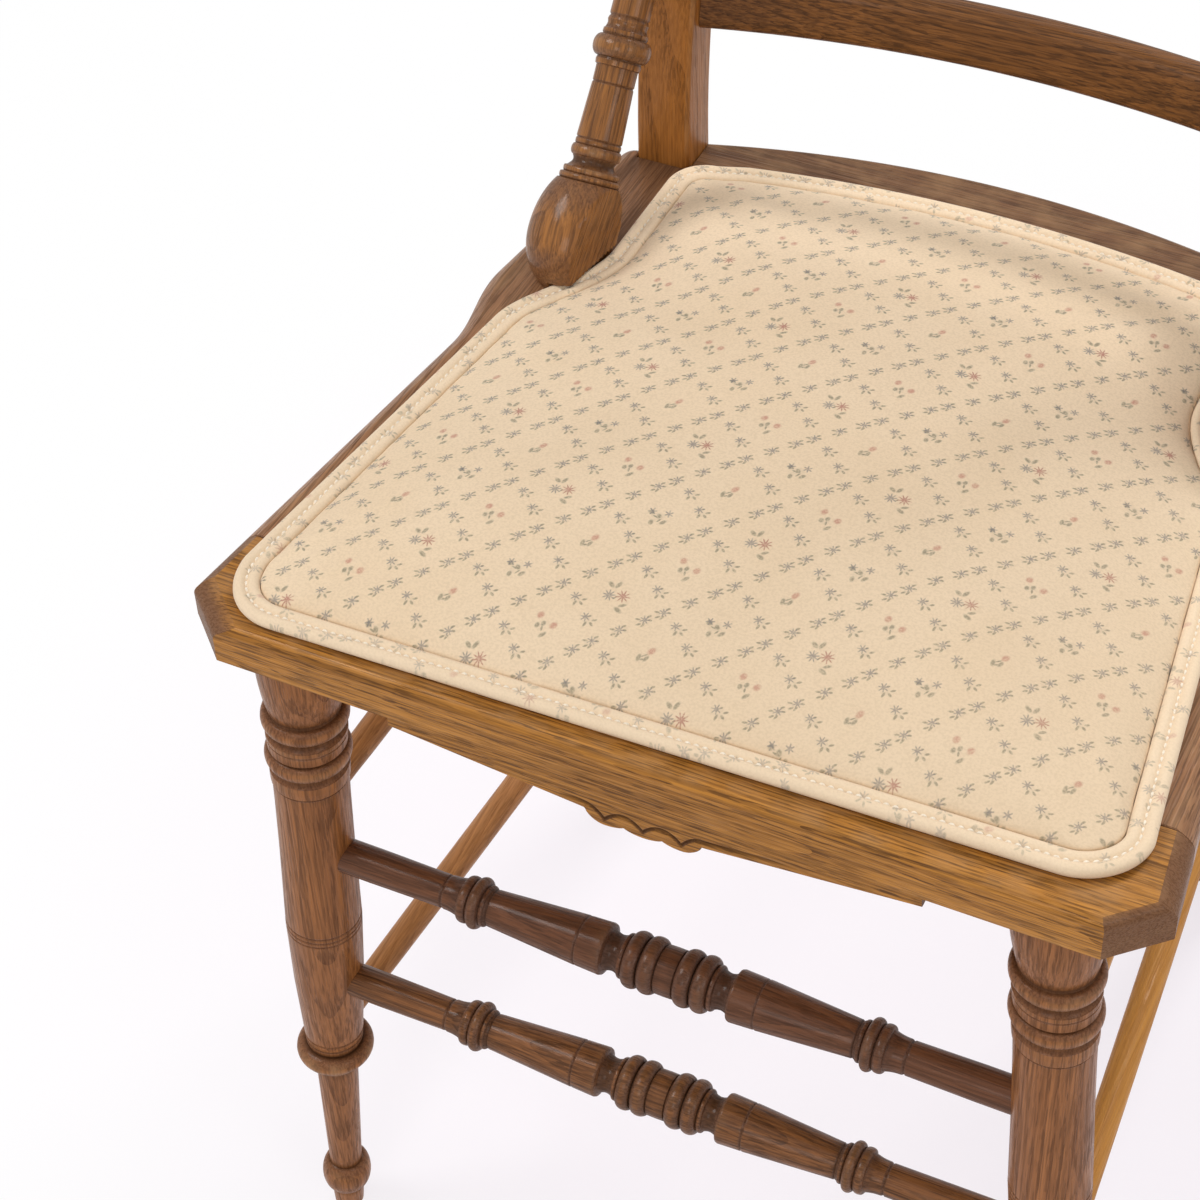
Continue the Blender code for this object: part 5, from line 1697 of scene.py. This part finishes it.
@dataclass(frozen=True)
class Apron:
    """Scalloped board under the front rail; its incised line arches from lobe to lobe."""

    plan: Plan
    centre: float = -0.0016
    half: float = 0.1206
    front: float = 0.0092
    thick: float = 0.018
    end_height: float = 0.0222
    fall: float = 0.0098
    lobe_centre: float = -0.0018
    pitch: float = 0.0176
    lobes: int = 3
    drop: float = 0.0068
    cusp: float = 0.0044
    line_up: float = 0.0046
    arch: float = 0.0056
    line_half: float = 0.0014
    line_deep: float = 0.0009
    fade_left: float = 0.012
    fade_right: float = 0.050

    def edge(self, x: np.ndarray) -> tuple[np.ndarray, np.ndarray]:
        """Depths under the rail: falling lines outside, rounded lobes in the middle.

        Args:
            x: places from the apron's middle.

        Returns:
            Depth of the lower edge and depth of the incised line.
        """
        reach = self.lobes * self.pitch / 2
        lobed = x - self.lobe_centre
        share = np.clip((self.half - np.abs(x)) / (self.half - reach), 0.0, 1.0)
        inside = np.abs(lobed) < reach
        outer = np.abs(lobed) > reach - self.pitch / 2
        swing = np.abs(np.cos(math.pi * lobed / self.pitch))
        notch = np.where(outer, 0.0, self.cusp)
        lobe = np.where(inside, notch + (self.drop - notch) * swing**0.6, 0.0)
        sides = self.end_height + self.fall * share
        bow = np.abs(np.sin(math.pi * lobed / self.pitch)) ** 0.8
        rise = np.where(outer, self.drop, self.arch) * bow
        line = np.where(inside, self.end_height + self.fall + self.drop - rise, sides) - self.line_up
        return np.where(inside, self.end_height + self.fall, sides) + lobe, line

    def build(self) -> None:
        """Make and dress the apron."""
        plan = self.plan
        top = plan.seat_bottom - plan.gap
        x = np.linspace(-self.half, self.half, 421)
        edge, line = self.edge(x)
        bottom = plan.seat_bottom - edge
        share = np.linspace(0.0, 1.0, 90)
        z = bottom[:, None] + (top - bottom)[:, None] * share[None, :]
        away = np.abs(z - (plan.seat_bottom - line)[:, None])
        past = np.abs(x - self.lobe_centre) - self.lobes * self.pitch / 2
        depth = 1.0 - smooth_step(past / np.where(x > self.lobe_centre, self.fade_right, self.fade_left))
        cut = np.clip(1.0 - away / self.line_half, 0.0, 1.0) * depth[:, None]
        ease = np.clip(0.0012 - (z - bottom[:, None]), 0.0, 0.0012)
        front = self.front + self.line_deep * cut + ease
        rear = np.full((len(x), 3), self.front + self.thick)
        y = np.concatenate((front, rear), axis=1) + plan.shift
        z = np.concatenate((z, z[:, [-1, 45, 0]]), axis=1)
        # Negative relief along the incised line is darkened as painted shade in the oak finish; the eased
        # lower edge gets positive relief, shown as wear.
        relief = np.concatenate((-0.9 * np.sqrt(cut) + 0.4 * (ease > 0.0002), np.zeros_like(rear)), axis=1)
        grid = np.stack((np.broadcast_to(x[:, None] + self.centre, z.shape), y, z), axis=-1)
        apron = skin("apron", grid, relief, sharp=35.0)
        GOLDEN.dress(apron, Along.X, (0.1, 0.12, -0.33))
        mount(apron, "golden_oak", "front_apron")


@dataclass(frozen=True)
class Upholstery:
    """Seat pad under printed cotton, edged with a double welt."""

    plan: Plan
    front: float = 0.0055
    skew: float = 0.024
    side_margin: float = 0.0145
    corner: float = 0.030
    notch: tuple[float, float] = (0.222, 0.066)
    post_margin: float = 0.003
    back: float = 0.3845
    back_bow: float = 0.60
    back_corner: float = 0.020
    rim: float = 0.0062
    tuck: float = 0.0007
    crown: float = 0.026
    cord: float = 0.003
    cord_pitch: float = 0.0057
    cap: float = 0.006
    bias: float = 0.6
    voxel: float = 0.004
    held_height: float = 0.004
    stitch_pitch: float = 0.0038
    stitch_share: float = 0.78
    stitch_lift: float = 0.0013
    thread: float = 0.00072

    def side(self, y: np.ndarray | float) -> np.ndarray:
        """Half-width of the outline between its corners, drawn in round the braces.

        Args:
            y: places in the plan.

        Returns:
            Half-widths.
        """
        start = self.plan.ear[0]
        beside = self.plan.seat_edge(np.minimum(y, start)) - self.side_margin
        beside = beside - self.plan.edge_taper * np.maximum(y - start, 0.0)
        inner = self.plan.post_inner + self.post_margin
        return beside + (inner - beside) * smooth_step((y - self.notch[0]) / self.notch[1])

    def outline(self, count: int) -> np.ndarray:
        """The pad's outer edge, counter-clockwise from the middle of the front, in even steps.

        Args:
            count: number of points.

        Returns:
            Plan points x 2.
        """
        turn = np.linspace(0.0, math.pi / 2, 24)
        turn_y = self.front + self.corner
        turn_x = float(self.side(turn_y)) - self.corner
        first = np.column_stack((turn_x + self.corner * np.sin(turn), turn_y - self.corner * np.cos(turn)))
        notch_end = self.notch[0] + self.notch[1]
        y = np.linspace(turn_y, notch_end, 120)[1:]
        beside = np.column_stack((self.side(y), y))
        back_x = float(self.side(notch_end)) - self.back_corner
        back_y = self.back - (back_x + self.back_corner / 2) ** 2 / (2.0 * self.back_bow) - self.back_corner
        last = (back_x, back_y) + self.back_corner * np.column_stack((np.cos(turn), np.sin(turn)))
        x = np.linspace(0.9 * back_x, 0.0, 30)
        rear = np.column_stack((x, self.back - x * x / (2.0 * self.back_bow)))
        half = np.vstack(((0.0, self.front), first, beside, last[:-1], rear))
        whole = np.vstack((half, (half[1:-1] * (-1.0, 1.0))[::-1]))
        reach = turn_y + self.corner
        whole[:, 1] += self.skew * whole[:, 0] * (1.0 - smooth_step(whole[:, 1] / reach))
        loop = np.vstack((whole, whole[:1]))
        run = np.concatenate(([0.0], np.cumsum(np.linalg.norm(np.diff(loop, axis=0), axis=1))))
        even = np.linspace(0.0, run[-1], count, endpoint=False)
        return np.column_stack((np.interp(even, run, loop[:, 0]), np.interp(even, run, loop[:, 1])))

    def inset(self, outline: np.ndarray, distance: float) -> np.ndarray:
        """The outline drawn in all round along smoothed normals.

        Args:
            outline: counter-clockwise points x 2.
            distance: how far to draw it in.

        Returns:
            The moved points.
        """
        ahead = np.roll(outline, -2, axis=0) - np.roll(outline, 2, axis=0)
        ahead /= np.linalg.norm(ahead, axis=1, keepdims=True)
        return outline + distance * np.column_stack((-ahead[:, 1], ahead[:, 0]))

    def pad_grid(self) -> np.ndarray:
        """Rings of the pad from under its edge, up the side and over the crown to the middle.

        The height over an inset share s of the outline is rim + (crown - rim)(1 - s^2).

        Returns:
            rings x points x 3 in the frame.
        """
        plan = self.plan
        outline = plan.framed(self.outline(360))
        edge = 2.0 * self.cord + self.cord_pitch + 2.0 * plan.gap
        base = self.inset(outline, edge - self.tuck)
        centre = np.array((0.0, (self.front + self.back) / 2 + plan.shift))
        floor = plan.seat_top + plan.gap
        rim_shares = (0.93, 0.995, 1.0, 1.0, 0.997, 0.991, 0.98, 0.96, 0.93)
        share = np.concatenate((rim_shares, np.linspace(0.89, 0.02, 40)))
        up = self.rim + (self.crown - self.rim) * (1.0 - share**2)
        up[:6] = np.array((0.0, 0.0, 0.25, 0.62, 0.88, 0.98)) * up[5]
        rings = centre + (base - centre)[None] * share[:, None, None]
        heights = np.broadcast_to((floor + up)[:, None, None], (*rings.shape[:2], 1))
        return np.concatenate((rings, heights), axis=-1)

    def build_pad(self) -> None:
        """Make the pad, swell it with a short cloth simulation and dress it."""
        pad = skin("pad_cover", self.pad_grid(), sharp=180.0)
        self.swell(pad)
        smooth = pad.modifiers.new("smooth", "SUBSURF")
        smooth.levels = smooth.render_levels = 1
        smooth.use_limit_surface = False
        pad.data.materials.append(PRINT.material("printed_cotton"))
        mount(pad, "cream_cloth", "seat_pad")

    def swell(self, pad: bpy.types.Object) -> None:
        """Blow the pad up a little against its own cloth, and cap how far any point moves.

        Args:
            pad: the pad, whose mesh is changed.
        """
        scene = bpy.context.scene
        bpy.context.view_layer.objects.active = pad
        pad.select_set(True)
        pad.data.remesh_voxel_size = self.voxel
        bpy.ops.object.voxel_remesh()
        mesh = pad.data
        before = np.empty(len(mesh.vertices) * 3)
        mesh.vertices.foreach_get("co", before)
        before = before.reshape(-1, 3)
        floor = self.plan.seat_top + self.plan.gap
        held = pad.vertex_groups.new(name="held")
        held.add(np.flatnonzero(before[:, 2] < floor + self.held_height).tolist(), 1.0, "REPLACE")
        cloth = pad.modifiers.new("cloth", "CLOTH")
        cloth.settings.vertex_group_mass = "held"
        cloth.settings.use_pressure = True
        cloth.settings.uniform_pressure_force = 4.0
        cloth.settings.effector_weights.gravity = 0.0
        cloth.settings.quality = 6
        for frame in range(1, 21):
            scene.frame_set(frame)
        made = pad.evaluated_get(bpy.context.evaluated_depsgraph_get()).to_mesh()
        after = np.empty(len(made.vertices) * 3)
        made.vertices.foreach_get("co", after)
        moved = after.reshape(-1, 3) - before
        pad.modifiers.remove(cloth)
        scene.frame_set(1)
        length = np.linalg.norm(moved, axis=1, keepdims=True)
        moved *= self.cap * np.tanh(length / self.cap) / np.maximum(length, 1e-9)
        sideways = np.clip((before[:, 2] - floor - 0.012) / 0.012, 0.0, 1.0)
        moved[:, :2] *= sideways[:, None]
        mesh.vertices.foreach_set("co", (before + moved).ravel())
        mesh.update()
        mesh.shade_smooth()

    def build_welt(self) -> None:
        """Make both cords in one sleeve, with the row of stitches between them."""
        plan = self.plan
        count = 760
        outline = plan.framed(self.outline(count))
        turn_outer = np.radians(np.linspace(26, 334, 19))
        turn_inner = np.radians(np.linspace(-154, 154, 19))
        aside = self.cord_pitch / 2
        outer, inner = self.cord * np.cos(turn_outer), self.cord * np.cos(turn_inner)
        across = np.concatenate((outer - aside, inner + aside))
        rise = np.concatenate((np.sin(turn_outer), np.sin(turn_inner))) * self.cord
        middle = self.cord + aside
        tracks = np.stack([self.inset(outline, middle + value) for value in across], axis=1)
        height = plan.seat_top + plan.gap + self.cord + rise
        levels = np.broadcast_to(height[None, :, None], (*tracks.shape[:2], 1))
        grid = np.concatenate((tracks, levels), axis=-1)
        welt = skin("welt", grid, loop=True, sharp=180.0)
        # The welt's colour is pulled 0.3 of the way to the lighter ground: painted light.
        welt.data.materials.append(PRINT.material("welt_cotton", self.bias, 0.3))
        mount(welt, "cream_cloth", "double_welt")
        self.build_stitches(outline, middle, plan.seat_top + plan.gap + self.cord + self.stitch_lift)

    def build_stitches(self, outline: np.ndarray, middle: float, height: float) -> None:
        """A row of short thread stitches in the valley of the welt.

        Args:
            outline: the welt's outer edge in the frame.
            middle: distance of the valley from it.
            height: height of the thread's axis.
        """
        track = self.inset(outline, middle)
        loop = np.vstack((track, track[:1]))
        run = np.concatenate(([0.0], np.cumsum(np.linalg.norm(np.diff(loop, axis=0), axis=1))))
        number = int(run[-1] / self.stitch_pitch)
        share = np.linspace(-0.5, 0.5, 5)
        at = (np.arange(number)[:, None] + 0.5 + self.stitch_share * share[None, :]) * run[-1] / number
        x, y = np.interp(at, run, loop[:, 0]), np.interp(at, run, loop[:, 1])
        ahead = np.stack((np.gradient(x, axis=1), np.gradient(y, axis=1)), axis=-1)
        ahead /= np.linalg.norm(ahead, axis=-1, keepdims=True)
        thick = self.thread * np.sqrt(np.clip(1.02 - (2.0 * share) ** 2, 0.0, 1.0))
        turn = np.linspace(0.0, 2.0 * math.pi, 6, endpoint=False)
        side = thick[None, :, None] * np.cos(turn)
        lift = thick[None, :, None] * np.sin(turn) + height + 0.0003 * np.cos(math.pi * share)[None, :, None]
        rings = np.stack(
            (
                x[..., None] - side * ahead[..., 1:],
                y[..., None] + side * ahead[..., :1],
                np.broadcast_to(lift, (number, 5, 6)),
            ),
            axis=-1,
        )
        index = np.arange(number * 30).reshape(number, 5, 6)
        near, far = index[:, :-1], index[:, 1:]
        quads = np.stack((near, np.roll(near, -1, 2), np.roll(far, -1, 2), far), -1)
        caps = np.concatenate((index[:, 0, ::-1], index[:, -1]))
        mesh = bpy.data.meshes.new("welt_stitches")
        mesh.from_pydata(rings.reshape(-1, 3), [], quads.reshape(-1, 4).tolist() + caps.tolist())
        piece = settle("welt_stitches", mesh, 180.0)
        thread = bpy.data.materials.new("cotton_thread")
        thread.use_nodes = True
        graph = Graph(thread.node_tree)
        shader = thread.node_tree.nodes["Principled BSDF"]
        place = graph.add("ShaderNodeTexCoord").outputs["Object"]
        twist = graph.noise(place, (900.0, 900.0, 900.0), 1.0)
        graph.feed(shader.inputs["Base Color"], graph.mix(twist, (0.94, 0.87, 0.75), (0.78, 0.67, 0.52)))
        shader.inputs["Roughness"].default_value = 0.8
        piece.data.materials.append(thread)
        mount(piece, "cream_cloth")

    def build(self) -> None:
        """Make the pad and the welt."""
        self.build_pad()
        self.build_welt()


@dataclass(frozen=True)
class Hidden:
    """Solids that stay as they are: the seat board, the screws and the dowels."""

    nodes: dict[str, bpy.types.Object]

    def build(self) -> None:
        """Dress the kept solids."""
        ply = Oak((0.62, 0.45, 0.26), (0.44, 0.29, 0.15), gloss=0.0, rings=180.0)
        ply.dress(self.nodes["seat_board"], Along.X, (0.0, 0.1, -0.44))
        pale = Oak((0.60, 0.42, 0.25), (0.44, 0.28, 0.15), gloss=0.0)
        for name, solid in self.nodes.items():
            if name.startswith("dowel_"):
                pale.dress(solid, Along.X, (0.0, 0.0, 0.0))
            if name.startswith("post_screw"):
                self.steel(solid)

    def steel(self, solid: bpy.types.Object) -> None:
        """Dull steel with faint turning marks.

        Args:
            solid: the screw to dress.
        """
        made = bpy.data.materials.new(f"steel_{solid.name}")
        made.use_nodes = True
        graph = Graph(made.node_tree)
        shader = made.node_tree.nodes["Principled BSDF"]
        place = graph.add("ShaderNodeTexCoord").outputs["Object"]
        marks = graph.noise(place, (900.0, 120.0, 900.0), 2.0)
        graph.feed(shader.inputs["Base Color"], graph.mix(marks, (0.5, 0.48, 0.45), (0.28, 0.26, 0.24)))
        graph.feed(shader.inputs["Roughness"], graph.math("MULTIPLY_ADD", marks, 0.3, 0.3))
        shader.inputs["Metallic"].default_value = 1.0
        solid.data.materials.clear()
        solid.data.materials.append(made)


@dataclass(frozen=True)
class Stage:
    """White floor, soft lights and the camera at the photograph's angle."""

    plan: Plan
    eye: Triple = (0.3497, -0.6812, 1.2923)
    forward: Triple = (-0.3359, 0.6313, -0.6991)
    right: Triple = (0.8986, 0.4373, -0.0368)
    up: Triple = (-0.2825, 0.6405, 0.7141)
    lens: float = 85.70
    floor_half: float = 6.0
    middle: Triple = (0.0, 0.0, 0.4)
    lamps: tuple[tuple[str, Triple, float, float], ...] = (
        ("key", (-1.9, -1.0, 3.0), 1.2, 41.0),
        ("front", (0.2, -4.0, 2.4), 1.6, 27.0),
        ("fill", (3.4, -2.0, 2.4), 1.6, 22.0),
        ("rear", (0.9, 3.5, 4.2), 1.4, 122.0),
    )

    def camera(self) -> None:
        """Set the camera from its solved place and axes."""
        data = bpy.data.cameras.new("camera")
        data.lens = self.lens
        data.sensor_width = 36.0
        data.sensor_fit = "HORIZONTAL"
        camera = bpy.data.objects.new("camera", data)
        turn = Matrix((self.right, self.up, [-value for value in self.forward])).transposed()
        place = Vector(self.eye) + Vector((0, self.plan.shift, 0))
        camera.matrix_world = Matrix.Translation(place) @ turn.to_4x4()
        bpy.context.scene.collection.objects.link(camera)
        bpy.context.scene.camera = camera

    def seen(self, graph: Graph) -> bpy.types.NodeSocket:
        """Which rays show the white itself: those from the camera, a gloss or a glass.

        Args:
            graph: the tree to build in.

        Returns:
            1 on such a ray and 0 on the others.
        """
        light = graph.add("ShaderNodeLightPath")
        shown = graph.math("MAXIMUM", light.outputs["Is Camera Ray"], light.outputs["Is Glossy Ray"])
        return graph.math("MAXIMUM", shown, light.outputs["Is Transmission Ray"])

    def floor(self) -> None:
        """A large white floor that shows the object's shadow faintly."""
        mesh = bpy.data.meshes.new("floor")
        corners = self.floor_half * np.array(((-1, -1, 0), (1, -1, 0), (1, 1, 0), (-1, 1, 0)))
        mesh.from_pydata(corners, [], [(0, 1, 2, 3)])
        floor = bpy.data.objects.new("floor", mesh)
        floor.location.z = -0.0005
        bpy.context.scene.collection.objects.link(floor)
        made = bpy.data.materials.new("white_floor")
        made.use_nodes = True
        graph = Graph(made.node_tree)
        nodes = made.node_tree.nodes
        shader = nodes["Principled BSDF"]
        shader.inputs["Base Color"].default_value = (0.88, 0.87, 0.88, 1.0)
        shader.inputs["Roughness"].default_value = 0.7
        shader.inputs["Specular IOR Level"].default_value = 0.2
        glow = graph.add("ShaderNodeEmission")
        place = graph.vector("SUBTRACT", graph.add("ShaderNodeTexCoord").outputs["Object"], (0.1, 0.1, 0.0))
        away = graph.ramp(graph.vector("LENGTH", place.outputs[0]).outputs["Value"], 0.25, 0.75)
        # Painted shade: the glow is tinted lilac near the chair and turns white further off.
        graph.feed(glow.inputs["Color"], graph.mix(away, (1.0, 0.945, 1.0), (1.0, 1.0, 1.0)))
        blend = graph.add("ShaderNodeMixShader")
        share = graph.math("MULTIPLY_ADD", away, 0.20, 0.70)
        graph.feed(blend.inputs[0], graph.math("MULTIPLY", self.seen(graph), share))
        graph.feed(blend.inputs[1], shader.outputs[0])
        graph.feed(blend.inputs[2], glow.outputs[0])
        graph.feed(nodes["Material Output"].inputs[0], blend.outputs[0])
        mesh.materials.append(made)

    def light(self, name: str, place: Triple, size: float, watts: float) -> None:
        """One soft area light that faces the chair's middle.

        Args:
            name: the light's name.
            place: where it stands.
            size: width of its square.
            watts: its power.
        """
        data = bpy.data.lights.new(name, "AREA")
        data.size = size
        data.energy = watts
        lamp = bpy.data.objects.new(name, data)
        lamp.location = place
        lamp.rotation_mode = "QUATERNION"
        lamp.rotation_quaternion = (Vector(self.middle) - Vector(place)).to_track_quat("-Z", "Y")
        bpy.context.scene.collection.objects.link(lamp)

    def world(self) -> None:
        """Even light all round, and a white background."""
        world = bpy.data.worlds.new("studio")
        world.use_nodes = True
        graph = Graph(world.node_tree)
        nodes = world.node_tree.nodes
        soft = nodes["Background"]
        soft.inputs["Color"].default_value = (1.0, 0.99, 0.98, 1.0)
        soft.inputs["Strength"].default_value = 0.52
        white = graph.add("ShaderNodeBackground")
        white.inputs["Color"].default_value = (1.0, 1.0, 1.0, 1.0)
        white.inputs["Strength"].default_value = 1.0
        blend = graph.add("ShaderNodeMixShader")
        graph.feed(blend.inputs[0], self.seen(graph))
        graph.feed(blend.inputs[1], soft.outputs[0])
        graph.feed(blend.inputs[2], white.outputs[0])
        graph.feed(nodes["World Output"].inputs[0], blend.outputs[0])
        bpy.context.scene.world = world

    def build(self) -> None:
        """Set up the stage."""
        bpy.context.scene.view_settings.view_transform = "Standard"
        self.camera()
        self.floor()
        self.world()
        for lamp in self.lamps:
            self.light(*lamp)


def main() -> None:
    """Build the chair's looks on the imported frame."""
    logging.basicConfig(level=logging.INFO, format="%(message)s")
    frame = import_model()
    plan = Plan(shift=float(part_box("seat_front_rail")[0][1]) + Plan.front_nose)
    oak_group()
    PRINT.group()
    Stage(plan).build()
    for assembly in (
        SeatFrame(plan),
        Apron(plan),
        FrontLegs(plan),
        Stretchers(plan),
        Posts(plan),
        Back(plan),
        Braces(plan),
        Upholstery(plan),
        Hidden(frame["nodes"]),
    ):
        assembly.build()
        LOG.info("%s done", type(assembly).__name__)


if __name__ == "__main__":
    main()
